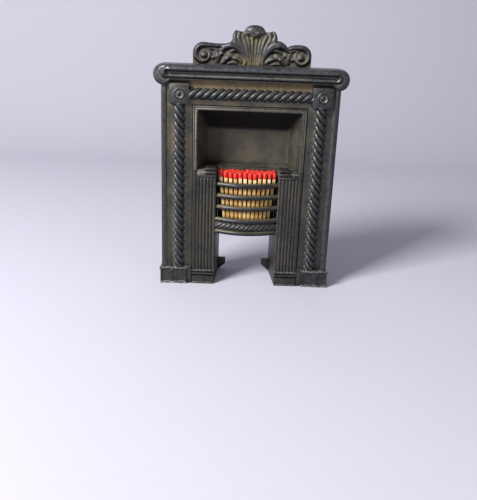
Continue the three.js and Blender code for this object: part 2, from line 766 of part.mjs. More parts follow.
// The recess narrows to the back, and its hood falls ever steeper
function fireback() {
  const below = HOB_HEIGHT - SHELL * 4;
  const level = (y, low, wall) => {
    const share = y / RECESS_DEPTH;
    const fall = HOOD_SAG * share * share + (HOOD_DROP - HOOD_SAG) * share;
    return [y, RECESS_HALF - RECESS_SPLAY * share + wall, low, RECESS_TOP - fall + wall];
  };
  const depths = Array.from({ length: 6 }, (_, i) => (RECESS_DEPTH * i) / 5);
  const hollow = taper(level(-FRAME_RISE - ROOT, below, 0), ...depths.map((y) => level(y, below, 0)));
  const shell = taper(...[...depths, RECESS_DEPTH + SHELL].map((y) => level(y, HOB_HEIGHT, SHELL)));
  const frameTop = OPENING_TOP - CAST_GAP;
  const frame = join(
    taper(
      [-FRAME_RISE, PANEL_OUTER - FRAME_RISE * 0.8, HOB_HEIGHT, frameTop - FRAME_RISE * 0.8],
      [0, PANEL_OUTER, HOB_HEIGHT, frameTop],
    ),
    block(-PANEL_OUTER, PANEL_OUTER, 0, FRONT_PLATE, HOB_HEIGHT, frameTop),
    block(
      -FLANGE_X, FLANGE_X, FRONT_PLATE, FLANGE_BACK,
      HOB_HEIGHT + CAST_GAP, OPENING_TOP + FLANGE_PLATE * 2,
    ),
  );
  const sillHalf = RECESS_HALF - RECESS_SPLAY + SHELL / 2;
  const sill = moulding([
    [RECESS_DEPTH - SILL_DEPTH, HOB_HEIGHT],
    [RECESS_DEPTH + ROOT, HOB_HEIGHT],
    [RECESS_DEPTH + ROOT, HOB_HEIGHT + SILL_RISE],
    [RECESS_DEPTH, HOB_HEIGHT + SILL_RISE],
  ], -sillHalf, sillHalf);
  const lipHalf = BASKET_WIDTH / 2 - CHEEK_SPLAY - CAST_GAP;
  const lipY = WELL_DEPTH + BACK_PLATE + CAST_GAP;
  const lipTop = HOB_HEIGHT + (SILL_RISE * CAST_GAP) / SILL_DEPTH;
  const lip = block(-lipHalf, lipHalf, lipY, lipY + SILL_LIP, HOB_HEIGHT - SILL_LIP_DROP, lipTop);
  return cut(join(cut(join(frame, shell), hollow), sill, lip), ...holesFor(flangeScrews));
}

addPiece('fireback', fireback(), FIREBACK_IRON);

// Basket shapes, from which the hobs' pockets are cut too

const BASKET_HALF = BASKET_WIDTH / 2;
const cheekFace = (y) => BASKET_HALF - (CHEEK_SPLAY * y) / CHEEK_DEPTH;
const barLevels = BAR_NAMES.map((_, index) => UPPER_BAR_Z - BAR_PITCH * index);
const bow = (x) => BAR_BOW * Math.min(0, (x / BASKET_HALF) ** 2 - 1);
const BOW_STEPS = 16;

// A bar of constant section that follows the bow, its section given as [y, z] from the bar's line
function bowed(section, lineY, z, reach) {
  return loft(Array.from({ length: BOW_STEPS + 1 }, (_, step) => {
    const x = reach * ((2 * step) / BOW_STEPS - 1);
    return section.map(([v, w]) => new THREE.Vector3(x, lineY + bow(x) + v, z + w));
  }));
}

function rectangle(depth, height) {
  const [y, z] = [depth / 2, height / 2];
  return [[-y, -z], [y, -z], [y, z], [-y, z]];
}

function barSection() {
  const [d, h] = [BAR_DEPTH / 2, BAR_HEIGHT / 2];
  return [[d, -h], [d, h], [0, h], [-d * 0.75, h * 0.6], [-d, 0], [-d * 0.75, -h * 0.6], [0, -h]];
}

const BAR_REACH = BASKET_HALF + TENON_BITE;
const RAIL_Z = RAIL_BOTTOM + RAIL_HEIGHT / 2;
const RAIL_LINE_Y = BAR_END_Y + (BAR_DEPTH - RAIL_BACK) / 2;

// The rail: a bead above and below a band, with the rope on the band and a tenon at each end
function railSection() {
  const [back, high] = [RAIL_BACK / 2, RAIL_HEIGHT / 2];
  const [beadY, beadZ] = [-back - RAIL_BEAD * 0.4, high - RAIL_BEAD];
  return [
    [back, RAIL_BEAD / 2 - high],
    [back, high - RAIL_BEAD / 2],
    ...arc(beadY, beadZ, RAIL_BEAD, 70, 270, 5),
    [-back, beadZ - RAIL_BEAD],
    [-back, RAIL_BEAD - beadZ],
    ...arc(beadY, -beadZ, RAIL_BEAD, 90, 290, 5),
  ];
}

function rail() {
  const reach = BASKET_HALF - CAST_GAP * 2;
  const full = railSection();
  const [depth, high] = [RAIL_BACK / 2, RAIL_TENON_HEIGHT / 2];
  const clamp = THREE.MathUtils.clamp;
  const tenon = full.map(([v, w]) => [clamp(v, -depth, depth), clamp(w, -high, high)]);
  const ring = (section, x) => section.map(([v, w]) => (
    new THREE.Vector3(x, RAIL_LINE_Y + bow(x) + v, RAIL_Z + w)
  ));
  const spans = Array.from({ length: BOW_STEPS + 1 }, (_, i) => reach * ((2 * i) / BOW_STEPS - 1));
  const body = loft([
    ring(tenon, -BAR_REACH),
    ring(tenon, -reach),
    ...spans.map((x) => ring(full, x)),
    ring(tenon, reach),
    ring(tenon, BAR_REACH),
  ]);
  const span = reach - ROOT;
  const route = (share) => {
    const x = span * (1 - 2 * share);
    return new THREE.Vector3(x, RAIL_LINE_Y - depth + bow(x), RAIL_Z);
  };
  return join(body, rope(
    route, span * 2, RAIL_ROPE_RADIUS, RAIL_ROPE_PITCH, ROPE_GROOVE * 0.6, () => ALONG.y, ALONG.z,
  ));
}

function floorOutline() {
  const front = Array.from({ length: BOW_STEPS + 1 }, (_, step) => {
    const x = (BASKET_HALF - CAST_GAP * 2) * ((2 * step) / BOW_STEPS - 1);
    return [x, RAIL_LINE_Y + RAIL_BACK / 2 + CAST_GAP + bow(x)];
  });
  const rear = WELL_DEPTH + BACK_PLATE;
  const side = cheekFace(rear) - CAST_GAP;
  return [...front, [side, rear], [-side, rear]];
}

const TAB_Y = WELL_DEPTH - TAB_WIDTH;
const FLOOR_BOTTOM = FLOOR_TOP - FLOOR_PLATE;
const TAB_LOW = (FLOOR_TOP + HOB_HEIGHT) / 2;

function floorTabs(play) {
  const reach = cheekFace(TAB_Y) + TAB_BITE + play;
  return block(-reach, reach, TAB_Y - play, TAB_Y + TAB_WIDTH + play, FLOOR_BOTTOM - play, FLOOR_TOP + play);
}

function backTabs(play) {
  const reach = cheekFace(WELL_DEPTH) + TAB_BITE + play;
  const [front, back] = [WELL_DEPTH - play, WELL_DEPTH + BACK_PLATE + play];
  return block(-reach, reach, front, back, TAB_LOW - play, TAB_LOW + TAB_WIDTH + play);
}

// Hobs: reeded pilaster, moulded base, capped top and the splayed cheek that carries the basket

function hobPlan() {
  const cheekRear = BASKET_HALF - CHEEK_SPLAY;
  return [
    [BASKET_HALF, 0],
    [PANEL_OUTER, 0],
    [PANEL_OUTER, FRONT_PLATE],
    [FLANGE_X, FRONT_PLATE],
    [FLANGE_X, FLANGE_BACK],
    [BASKET_HALF + CHEEK_PLATE, FLANGE_BACK],
    [cheekRear + CHEEK_PLATE, CHEEK_DEPTH],
    [cheekRear, CHEEK_DEPTH],
  ];
}

function hobCap() {
  const front = Array.from({ length: 5 }, (_, i) => {
    const angle = (i * Math.PI) / 8;
    return [
      CAP_CURVE - (CAP_CURVE + CAP_RISE) * Math.cos(angle),
      HOB_HEIGHT - CAP_CURVE + CAP_CURVE * Math.sin(angle),
    ];
  });
  const low = HOB_HEIGHT - TOP_THICKNESS;
  return moulding([
    [FRONT_PLATE, CAP_BOTTOM],
    [-CAP_RISE, CAP_BOTTOM],
    ...front,
    [RECESS_DEPTH + SHELL, HOB_HEIGHT],
    [RECESS_DEPTH + SHELL, low],
    [FRONT_PLATE, low],
  ], BASKET_HALF, RECESS_HALF - CAST_GAP);
}

// The double-beaded pad beside the basket, its beads rounded off at their inner ends
function hobPad() {
  const bead = (y, z) => {
    const ring = (x, radius) => circle(0, 0, radius, 8)
      .map(([v, w]) => new THREE.Vector3(x, y + v, z + w));
    return loft([
      ring(BASKET_HALF - PAD_BEAD * 0.4, PAD_BEAD * 0.6),
      ring(BASKET_HALF, PAD_BEAD),
      ring(BASKET_HALF + PAD_WIDTH, PAD_BEAD),
    ]);
  };
  const top = HOB_HEIGHT + PAD_RISE;
  return join(
    block(BASKET_HALF, BASKET_HALF + PAD_WIDTH, 0, PAD_DEPTH, CAP_BOTTOM + ROOT, top),
    bead(-CAP_RISE * 0.4, top - PAD_BEAD),
    bead(-CAP_RISE * 0.8, top - PAD_BEAD * 3.2),
  );
}

// The bead beside the reeds, which carries the fireback's frame down to the base
function frameStrip() {
  const edge = FRAME_RISE * 0.8;
  return upright([
    [RECESS_HALF, ROOT], [RECESS_HALF, -FRAME_RISE * 0.5], [RECESS_HALF + edge, -FRAME_RISE],
    [PANEL_OUTER - edge, -FRAME_RISE], [PANEL_OUTER, 0], [PANEL_OUTER, ROOT],
  ], 0, HOB_HEIGHT);
}

function reeds() {
  const inner = BASKET_HALF + EDGE_STRIP;
  const pitch = (RECESS_HALF - inner) / REEDS;
  return Array.from({ length: REEDS }, (_, i) => upright(
    circle(inner + pitch * (i + 0.5), 0, REED_RADIUS, 8), BASE_HEIGHT, CAP_BOTTOM + ROOT,
  ));
}

function hobBase() {
  const mould = (z, rise, height) => moulding([
    [ROOT, z], [-rise * 0.6, z], [-rise, z + height / 2], [-rise * 0.6, z + height], [ROOT, z + height],
  ], BASKET_HALF, PANEL_OUTER);
  const gap = (BASE_MOULD_TOP - BASE_HEIGHT) / 2;
  return join(
    block(BASKET_HALF, PANEL_OUTER, -BASE_RISE, ROOT, 0, BASE_HEIGHT),
    mould(BASE_HEIGHT, BASE_RISE * 0.8, gap),
    mould(BASE_MOULD_TOP - gap, BASE_RISE * 0.6, gap),
  );
}

function hobFoot() {
  const rear = BASKET_HALF - CHEEK_SPLAY;
  return slab(shapeOf([
    [rear, 0], [rear + ROOT, 0], [rear + ROOT, FOOT_HEIGHT], [rear - FOOT_REACH, FOOT_HEIGHT],
    [rear - FOOT_REACH, FOOT_HEIGHT / 2],
  ]), CHEEK_DEPTH - FOOT_PLATE, CHEEK_DEPTH);
}

function rightHob() {
  const flangeTrim = block(
    PANEL_OUTER, FLANGE_X + ROOT, FRONT_PLATE - ROOT, FLANGE_BACK + ROOT,
    HOB_HEIGHT - CAST_GAP, HOB_HEIGHT + ROOT,
  );
  const solid = join(
    upright(hobPlan(), 0, HOB_HEIGHT),
    frameStrip(),
    hobCap(),
    block(BASKET_HALF, PANEL_OUTER, ROOT, RECESS_DEPTH + SHELL, HOB_HEIGHT - TOP_THICKNESS, HOB_HEIGHT),
    hobPad(),
    ...reeds(),
    hobBase(),
    hobFoot(),
  );
  const pocket = (section, lineY, z) => bowed(section, lineY, z, BAR_REACH + CAST_GAP);
  const grown = 2 * CAST_GAP;
  return cut(
    solid,
    flangeTrim,
    ...barLevels.map((z) => pocket(rectangle(BAR_DEPTH + grown, BAR_HEIGHT + grown), BAR_END_Y, z)),
    pocket(rectangle(RAIL_BACK + grown, RAIL_TENON_HEIGHT + grown), RAIL_LINE_Y, RAIL_Z),
    floorTabs(CAST_GAP),
    backTabs(CAST_GAP),
    ...holesFor(flangeScrews),
  );
}

const hob = rightHob();
addPiece('right_hob', hob, IRON);
addPiece('left_hob', mirrored(hob), IRON);

// Bars, rail, floor and back plate

barLevels.forEach((z, index) => {
  addPiece(BAR_NAMES[index], bowed(barSection(), BAR_END_Y, z, BAR_REACH), IRON);
});

addPiece('rope_rail', rail(), IRON);

addPiece('basket_floor', join(
  upright(floorOutline(), FLOOR_BOTTOM, FLOOR_TOP),
  floorTabs(0),
), FLAT_IRON);

const backHalf = cheekFace(WELL_DEPTH + BACK_PLATE) - CAST_GAP;
addPiece('basket_back', join(
  block(-backHalf, backHalf, WELL_DEPTH, WELL_DEPTH + BACK_PLATE, FLOOR_TOP, BACK_PLATE_TOP),
  backTabs(0),
), FLAT_IRON);

// Screws

[...flangeScrews, ...shelfScrews].forEach(({ name, seat, axis, shank }) => {
  addPiece(name, screw(seat, axis, shank), SCREW_STEEL);
});

// Matches: square sticks with round heads, in rows that follow the bow and fan out upwards

function match(length) {
  const half = STICK / 2;
  const square = (z) => [
    [half, -half], [half, 0], [half, half], [0, half], [-half, half], [-half, 0], [-half, -half], [0, -half],
  ].map(([x, y]) => new THREE.Vector3(x, y, z));
  const round = (z, radius) => arc(0, 0, radius, -45, 270, 7).map(([x, y]) => new THREE.Vector3(x, y, z));
  const neck = length - HEAD_LENGTH;
  return loft([
    square(0),
    square(neck),
    round(neck + HEAD_LENGTH * 0.15, HEAD_RADIUS * 0.9),
    round(neck + HEAD_LENGTH * 0.45, HEAD_RADIUS),
    round(neck + HEAD_LENGTH * 0.75, HEAD_RADIUS * 0.92),
    round(length, HEAD_RADIUS * 0.45),
  ]);
}

const ROW_PITCH = 2 * HEAD_RADIUS + MATCH_GAP;
const frontRowY = (x) => BAR_END_Y + BAR_DEPTH / 2 + bow(Math.abs(x) + STICK / 2) + MATCH_GAP + STICK / 2;
const MATCH_FOOT = FLOOR_TOP + MATCH_GAP;
const topHalf = cheekFace(WELL_DEPTH) - MATCH_GAP;
const COLUMNS = Math.floor((2 * topHalf) / ROW_PITCH);
const TOP_PITCH = (2 * topHalf) / COLUMNS;
const FOOT_PITCH = STICK + MATCH_GAP * 1.5;

Object.entries(MATCHES_FEWER).forEach(([row, fewer], rowIndex) => {
  const count = COLUMNS - fewer;
  for (let column = 0; column < count; column++) {
    const place = column - (count - 1) / 2;
    const [footX, topX] = [place * FOOT_PITCH, place * TOP_PITCH];
    const y = frontRowY(topX) + rowIndex * ROW_PITCH;
    const stagger = MATCH_STAGGER * ((column * 5 + rowIndex * 3) % 4);
    const name = `match_${row}_${String(column + 1).padStart(2, '0')}`;
    const mesh = addPiece(name, match(MATCH_LENGTH - stagger), MATCH_WOOD);
    mesh.rotation.y = Math.atan((topX - footX) / (MATCH_LENGTH - HEAD_LENGTH / 2));
    mesh.position.set(footX, y, MATCH_FOOT);
  }
});

export default holder;
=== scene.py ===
# %% [markdown]
# # A cast-iron match holder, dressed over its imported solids
#
# The object is a table match holder in the shape of a small hob grate: a surround with twisted
# ropes, a mantel shelf with a leafy crest, a dark recess, and a barred basket full of matches.
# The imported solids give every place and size. Their faces are coarse, so this lesson models
# finer castings over them, with rounded edges and relief, and paints them as old blackened iron.
#
# The solids could also be smoothed by modifiers, but a facet that was never rounded stays a
# facet. New meshes from the same sizes give softer edges and keep every place exact.

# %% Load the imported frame
import math

import bmesh
import bpy
import numpy as np
from mathutils import Matrix, Vector


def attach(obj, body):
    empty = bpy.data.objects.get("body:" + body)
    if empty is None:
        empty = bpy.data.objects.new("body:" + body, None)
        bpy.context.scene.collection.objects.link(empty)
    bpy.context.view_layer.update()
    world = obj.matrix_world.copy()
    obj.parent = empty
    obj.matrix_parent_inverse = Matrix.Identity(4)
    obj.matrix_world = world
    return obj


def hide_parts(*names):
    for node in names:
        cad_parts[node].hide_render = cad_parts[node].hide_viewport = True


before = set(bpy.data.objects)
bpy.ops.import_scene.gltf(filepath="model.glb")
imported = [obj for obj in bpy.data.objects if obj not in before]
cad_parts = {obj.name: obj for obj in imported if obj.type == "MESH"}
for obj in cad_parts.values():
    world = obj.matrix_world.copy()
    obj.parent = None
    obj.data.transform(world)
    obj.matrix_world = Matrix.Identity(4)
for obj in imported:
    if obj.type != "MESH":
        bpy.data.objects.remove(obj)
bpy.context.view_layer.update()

# %% [markdown]
# ## Working in millimetres
#
# The sizes below are the real ones, in millimetres, and y = 0 is the flat front of the surround.
# A finished piece is scaled to metres and moved back so that the origin lies under its middle.
# One helper does this for every piece: it merges doubles, turns the faces outwards, smooths the
# shading up to a limit angle, and hands the piece to the body that carries it. Writing it once
# keeps the later cells about shapes only.

# %% Helpers for closed shapes
MM = 0.001
SHIFT_Y = -12.0


def vertices_of(geometry):
    """The vertices in what an operator made."""
    return [g for g in geometry if isinstance(g, bmesh.types.BMVert)]


def into(whole, part):
    """Adds a part's mesh to a whole and lets the part go."""
    mesh = bpy.data.meshes.new("part")
    part.to_mesh(mesh)
    part.free()
    whole.from_mesh(mesh)
    bpy.data.meshes.remove(mesh)


def soften(part, width):
    """Rounds every edge sharper than 35 degrees, as sand and fettling leave a casting."""
    sharp = [
        e for e in part.edges if e.is_manifold and e.calc_face_angle(0.0) > math.radians(35)]
    bmesh.ops.bevel(
        part, geom=sharp, offset=width, segments=2, profile=0.5, affect="EDGES", material=-1,
        clamp_overlap=True)
    return part


def closed(part):
    """Fills each open loop of edges with a face."""
    bmesh.ops.holes_fill(part, edges=[e for e in part.edges if e.is_boundary], sides=0)
    return part


def placed(part, place, lean=0.0):
    """Leans a part sideways about the origin, and then puts it in its place."""
    bmesh.ops.rotate(
        part, cent=(0, 0, 0), matrix=Matrix.Rotation(lean, 3, "Y"), verts=part.verts)
    bmesh.ops.translate(part, vec=place, verts=part.verts)
    return part


def block(low, high, round_by=0.0):
    """A box between two corners, with softened edges if asked."""
    part = bmesh.new()
    bmesh.ops.create_cube(part, size=1.0)
    bmesh.ops.scale(part, vec=[b - a for a, b in zip(low, high)], verts=part.verts)
    placed(part, [(a + b) / 2 for a, b in zip(low, high)])
    return soften(part, round_by) if round_by else part


def drawn(points, by, round_by=0.0):
    """A flat outline of 3-D points, drawn out by a vector into a closed body."""
    part = bmesh.new()
    face = part.faces.new([part.verts.new(p) for p in points])
    made = bmesh.ops.extrude_face_region(part, geom=[face])
    bmesh.ops.translate(part, vec=by, verts=vertices_of(made["geom"]))
    bmesh.ops.recalc_face_normals(part, faces=part.faces)
    return soften(part, round_by) if round_by else part


def swept(points, steps, by, turn=0.0):
    """A ring of points, moved and turned round z in equal steps, and capped at both ends."""
    part = bmesh.new()
    ring = [part.verts.new(p) for p in points]
    edges = [part.edges.new(pair) for pair in zip(ring, ring[1:] + ring[:1])]
    bmesh.ops.spin(
        part, geom=ring + edges, cent=(0, 0, 0), axis=(0, 0, 1), dvec=Vector(by) / steps,
        angle=turn, steps=steps, use_merge=False, use_duplicate=False)
    closed(part)
    bmesh.ops.recalc_face_normals(part, faces=part.faces)
    return part


# %% Finishing a piece
def finished(whole, name, materials, nodes, body="holder", limit=38.0):
    """Makes the object of a finished piece, on its body and in place of its CAD nodes."""
    bmesh.ops.remove_doubles(whole, verts=whole.verts, dist=0.0005)
    bmesh.ops.recalc_face_normals(whole, faces=whole.faces)
    bmesh.ops.translate(whole, vec=(0, SHIFT_Y, 0), verts=whole.verts)
    bmesh.ops.scale(whole, vec=(MM, MM, MM), verts=whole.verts)
    mesh = bpy.data.meshes.new(name)
    open_edges = sum(e.is_boundary for e in whole.edges)
    whole.to_mesh(mesh)
    whole.free()
    for material in materials:
        mesh.materials.append(material)
    mesh.shade_smooth()
    mesh.set_sharp_from_angle(angle=math.radians(limit))
    piece = bpy.data.objects.new(name, mesh)
    bpy.context.scene.collection.objects.link(piece)
    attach(piece, body)
    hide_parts(*nodes)
    if open_edges or body == "holder":
        print(name, "has", len(mesh.polygons), "faces and", open_edges, "open edges")
    return piece


trial = block((0, 0, 0), (10, 10, 10), 1.0)
print("A cube with softened edges has", len(trial.faces), "faces")
trial.free()

# %% [markdown]
# ## Blackened cast iron
#
# The real metal is grey iron, cast in sand and blackened. Sand leaves a fine grain and soft
# waves, blacking gives a dull metallic sheen, dust and light rust settle brown in the hollows,
# and handling rubs the high edges back to pale grey iron.
#
# An image could hold all this, but it would need a map for each piece. Nodes do it from the
# shape itself: ambient occlusion looked outwards finds the hollows, and looked inwards finds the
# edges. Noise in object coordinates breaks both up, at sizes worked out from millimetres.

# %% Colour and node helpers
def linear(code):
    """An sRGB hex colour as linear RGBA."""
    parts = [int(code[i:i + 2], 16) / 255 for i in (1, 3, 5)]
    return [p / 12.92 if p <= 0.04045 else ((p + 0.055) / 1.055) ** 2.4 for p in parts] + [1.0]


def wire(tree, node, sockets):
    """Sets sockets to values or hex colours, or links them to sockets or first outputs."""
    for socket, value in sockets.items():
        if isinstance(value, bpy.types.Node):
            value = value.outputs[0]
        if isinstance(value, bpy.types.NodeSocket):
            tree.links.new(value, node.inputs[socket])
        else:
            node.inputs[socket].default_value = linear(value) if isinstance(value, str) else value


def add(tree, kind, sockets=None, **settings):
    """Adds a node with its settings, and wires it."""
    node = tree.nodes.new(kind)
    for name, value in settings.items():
        setattr(node, name, value)
    wire(tree, node, sockets or {})
    return node


def per(size_mm):
    """The scale of a noise whose features are about this large."""
    return 1 / (size_mm * MM)


print("Middle grey in linear light:", round(linear("#808080")[0], 3))

# %% [markdown]
# ### Shares and coats
#
# A finish is built as a painter builds it: a ground, and then coats over it, each only where it
# belongs. Where a coat lies is a share between 0 and 1. It comes from values such as the depth
# of a hollow, the height or a noise. Each is read over a range, and the results are multiplied.

# %% Shares and coats
def new_finish(name):
    """Starts a finish: its material, its nodes, its shader and the place of each point."""
    material = bpy.data.materials.new(name)
    material.use_nodes = True
    tree = material.node_tree
    place = add(tree, "ShaderNodeTexCoord").outputs["Object"]
    return material, tree, tree.nodes["Principled BSDF"], place


def share_of(tree, *parts):
    """Multiplies its parts. A row reads a value over a range as 0 to 1, or as its last two."""
    share = None
    for part in parts:
        if isinstance(part, tuple):
            value, low, high, *onto = part
            start, end = onto or (0.0, 1.0)
            part = add(tree, "ShaderNodeMapRange", {
                "Value": value, "From Min": low, "From Max": high, "To Min": start, "To Max": end,
            }, interpolation_type="SMOOTHSTEP")
        share = part if share is None else add(
            tree, "ShaderNodeMath", {0: share, 1: part}, operation="MULTIPLY")
    return share


def coated(tree, ground, *coats):
    """Lays coats over a ground colour, each as thick as its share says."""
    for share, coat in coats:
        ground = add(
            tree, "ShaderNodeMix", {0: share, 6: ground, 7: coat}, data_type="RGBA").outputs[2]
    return ground


def matt_surface(tree, shader, pattern, rough, depth_mm, strength):
    """Lets one pattern set the roughness between two values and raise the surface a little."""
    wire(tree, shader, {
        "Roughness": add(
            tree, "ShaderNodeMapRange", {"Value": pattern, "To Min": rough[0], "To Max": rough[1]}),
        "Normal": add(tree, "ShaderNodeBump", {
            "Height": pattern, "Distance": depth_mm * MM, "Strength": strength}),
    })


# %% [markdown]
# ### One recipe for iron
#
# The ground is black iron with a little sheen, in patches as the blacking took. Brown dust goes
# over it in the hollows, then a painted shade, near black, in the narrowest crevices and on what
# looks down, and last the pale metal of rubbed edges. The same shares also dull the surface:
# where dust lies, iron is rough and hardly metallic.

# %% The cast iron finish
PAINTED_SHADE = "#121112"


def cast_iron(
        name, black, sheen, patina, rubbed, roughness=0.3, dust=1.0, reach=11, wear=1.0,
        shade_strength=0.85, shade_reach=2.5, ochre=None):
    """Blackened iron: brown dust in its hollows, painted shade in crevices and below, rubbed edges.

    The two widths in mm say how wide the hollows are that hold dust, and the crevices that are
    painted with shade. Ochre, where there is any, is a colour, the height from which it lies, its
    half width and its soft end.
    """
    material, tree, shader, place = new_finish(name)
    cloud, patch, grain = (
        add(tree, "ShaderNodeTexNoise", {
            "Vector": place, "Scale": per(size), "Detail": detail, "Roughness": uneven})
        for size, detail, uneven in ((16, 3.0, 0.5), (2.6, 4.0, 0.6), (0.6, 2.0, 0.5)))
    wide, close, edge = (
        add(tree, "ShaderNodeAmbientOcclusion", {"Distance": width * MM}, samples=12,
            inside=inwards).outputs["AO"]
        for width, inwards in ((reach, False), (shade_reach, False), (0.6, True)))
    facing = add(tree, "ShaderNodeNewGeometry").outputs["Normal"]
    upward = add(tree, "ShaderNodeSeparateXYZ", {"Vector": facing}).outputs["Z"]
    across, _, height = add(tree, "ShaderNodeSeparateXYZ", {"Vector": place}).outputs

    # dust lies in wide hollows, not on undersides, and less at the foot, where the floor
    # would read as a hollow; less dust on the right paints that side darker, as painted shade
    # where the light falls off
    dust_and_side_shade = share_of(
        tree, (wide, 1.0, 0.82), (cloud, 0.36, 0.6, 0.45, 1.0), (patch, 0.3, 0.6, 0.7, 1.0),
        (upward, -0.4, 0.0), (height, 0.006, 0.02, 0.2, 1.0), (across, 0.025, 0.055, 1.0, 0.4),
        dust)
    worn = share_of(tree, (edge, 0.7, 0.35), (patch, 0.35, 0.6, 0.3, 1.0), wear)
    # painted shade, near black: in narrow crevices where ambient occlusion is deep, and on faces
    # that look down, away from the light
    painted_shade = add(tree, "ShaderNodeMath", {
        0: share_of(tree, (close, 0.75, 0.35)), 1: share_of(tree, (upward, -0.05, -0.5)),
    }, operation="MAXIMUM")
    iron = coated(tree, black, (share_of(tree, (patch, 0.2, 0.8)), sheen))
    brown = coated(tree, patina[0], (share_of(tree, (patch, 0.4, 0.65)), patina[1]))
    if ochre:
        rust, low, half, soft = ochre
        outward = add(tree, "ShaderNodeMath", {0: across}, operation="ABSOLUTE")
        sheltered = share_of(
            tree, (height, low - 0.001, low + 0.001), (outward, half + soft, half - soft))
        rusty = share_of(
            tree, sheltered, (patch, 0.35, 0.6, 1.0, 0.45), (cloud, 0.35, 0.6, 0.55, 1.0))
        brown = coated(tree, brown, (rusty, rust))
        painted_shade = share_of(tree, painted_shade, (sheltered, 0.0, 1.0, 1.0, 0.25))
        dust_and_side_shade = add(tree, "ShaderNodeMath", {
            0: dust_and_side_shade, 1: share_of(tree, sheltered, (wide, 1.0, 0.6), 0.85),
        }, operation="MAXIMUM")

    # the dull sheen of blacking gives way to matt dust, and sand leaves waves and a fine grain
    wave = add(tree, "ShaderNodeBump", {"Height": patch, "Distance": 0.35 * MM, "Strength": 0.5})
    wire(tree, shader, {
        "Base Color": coated(
            tree, iron, (dust_and_side_shade, brown), (share_of(tree, painted_shade, shade_strength), PAINTED_SHADE), (worn, rubbed)),
        "Roughness": add(tree, "ShaderNodeMath", {
            0: patch, 1: 0.14, 2: share_of(tree, (dust_and_side_shade, 0.0, 1.0, roughness, roughness + 0.32)),
        }, operation="MULTIPLY_ADD"),
        "Metallic": share_of(tree, (dust_and_side_shade, 0.0, 0.8, 0.75, 0.15)),
        "Normal": add(tree, "ShaderNodeBump", {
            "Height": grain, "Distance": 0.05 * MM, "Strength": 0.6, "Normal": wave}),
    })
    return material


# %% [markdown]
# ### A finish for each group of pieces
#
# The castings were handled and dusted in different ways, and each group takes its own depth of
# painted shade, so the same recipe is mixed anew for each group. Ropes were rubbed over and are
# paler, the shelf is wiped and shines, the crest is duller, and fine rust stays ochre where it is
# sheltered: along the frieze under the shelf, and low in the middle of the crest. Deep in the
# recess nothing is ever rubbed.

# %% The iron finishes
blackened_iron = cast_iron(
    "Blackened cast iron", "#292a2c", "#444547", ("#665e45", "#574b35"), "#a3a29e", shade_strength=0.6,
    ochre=("#9a8158", 0.1402, 0.0415, 0.001))
rope_iron = cast_iron(
    "Blackened cast iron, ropes", "#2f3132", "#4d4f50", ("#5f5b4c", "#544834"), "#8f9091", 0.35,
    dust=0.5, wear=0.5, shade_strength=0.6)
shelf_iron = cast_iron(
    "Blackened cast iron, shelf", "#38393b", "#67686a", ("#6a6558", "#5d5443"), "#a3a29e", 0.31,
    dust=0.6, reach=8, wear=0.6, shade_strength=0.75)
crest_iron = cast_iron(
    "Blackened cast iron, crest", "#353537", "#5c5c5e", ("#5c543f", "#4e4330"), "#8c8c8b", 0.4,
    dust=0.8, reach=8, wear=0.5, shade_strength=0.6, ochre=("#736642", 0.154, 0.0085, 0.005))
frame_iron = cast_iron(
    "Blackened cast iron, recess frame", "#343433", "#4d4d4c", ("#5b5543", "#4b4233"), "#77756f",
    wear=0.4)
hob_iron = cast_iron(
    "Blackened cast iron, hobs", "#2c2c2b", "#444342", ("#504c3c", "#453d2e"), "#8a8780", 0.38,
    dust=0.8, reach=7, wear=0.6)
recess_iron = cast_iron(
    "Dusty cast iron, recess", "#373735", "#4a4946", ("#676049", "#5b4f37"), "#6b665c", 0.5,
    dust=0.5, reach=30, wear=0.3, shade_strength=0.7, shade_reach=7)
plate_iron = cast_iron(
    "Cast iron, plain plates", "#2e2b27", "#3d3933", ("#4b4134", "#40382c"), "#6f6a60", 0.5)
print("Iron finishes:", [m.name for m in bpy.data.materials if "iron" in m.name])

# %% [markdown]
# ## Match wood and the striking heads
#
# A match is split from straight poplar or aspen: pale cream, matt, with fine lines along the
# stick, and no two have quite the same tone. Its head is a dried red paste, matt and a little
# gritty. The lines come from noise squeezed along the stick, and the tone of each stick from an
# attribute that its mesh carries, so one material serves all of them. Below the upper bar the
# sticks are painted browner and darker, as painted shade behind the bars, and between two
# sticks painted shade makes the wood nearly dark.

# %% The finishes of the matches
def split_wood():
    """Pale wood with fine lines; painted shade browns it below the upper bar and darkens the gaps.
    """
    material, tree, shader, place = new_finish("Split poplar")
    along = add(tree, "ShaderNodeMapping", {"Vector": place, "Scale": (1.0, 1.0, 0.05)})
    fibre = add(tree, "ShaderNodeTexNoise", {"Vector": along, "Scale": per(0.35), "Detail": 4.0})
    tone = add(tree, "ShaderNodeAttribute", attribute_name="stick_tone").outputs["Fac"]
    # painted shade between two sticks, where ambient occlusion finds the next stick close by
    gap = add(tree, "ShaderNodeAmbientOcclusion", {"Distance": 4 * MM}, samples=12).outputs["AO"]
    height = add(tree, "ShaderNodeSeparateXYZ", {"Vector": place}).outputs["Z"]
    # painted shade: below the upper bar the sticks turn browner and darker
    shade_below_bars = share_of(tree, (height, 0.0775, 0.0745), (fibre, 0.35, 0.65, 0.85, 0.4))
    wire(tree, shader, {"Base Color": coated(
        tree, "#dfae5c", (fibre, "#fff4cf"), (tone, "#d6a558"), (shade_below_bars, "#a5761a"),
        (share_of(tree, (gap, 0.68, 0.3)), "#3a1e04"))})
    matt_surface(tree, shader, fibre, (0.85, 0.6), 0.06, 0.6)
    return material


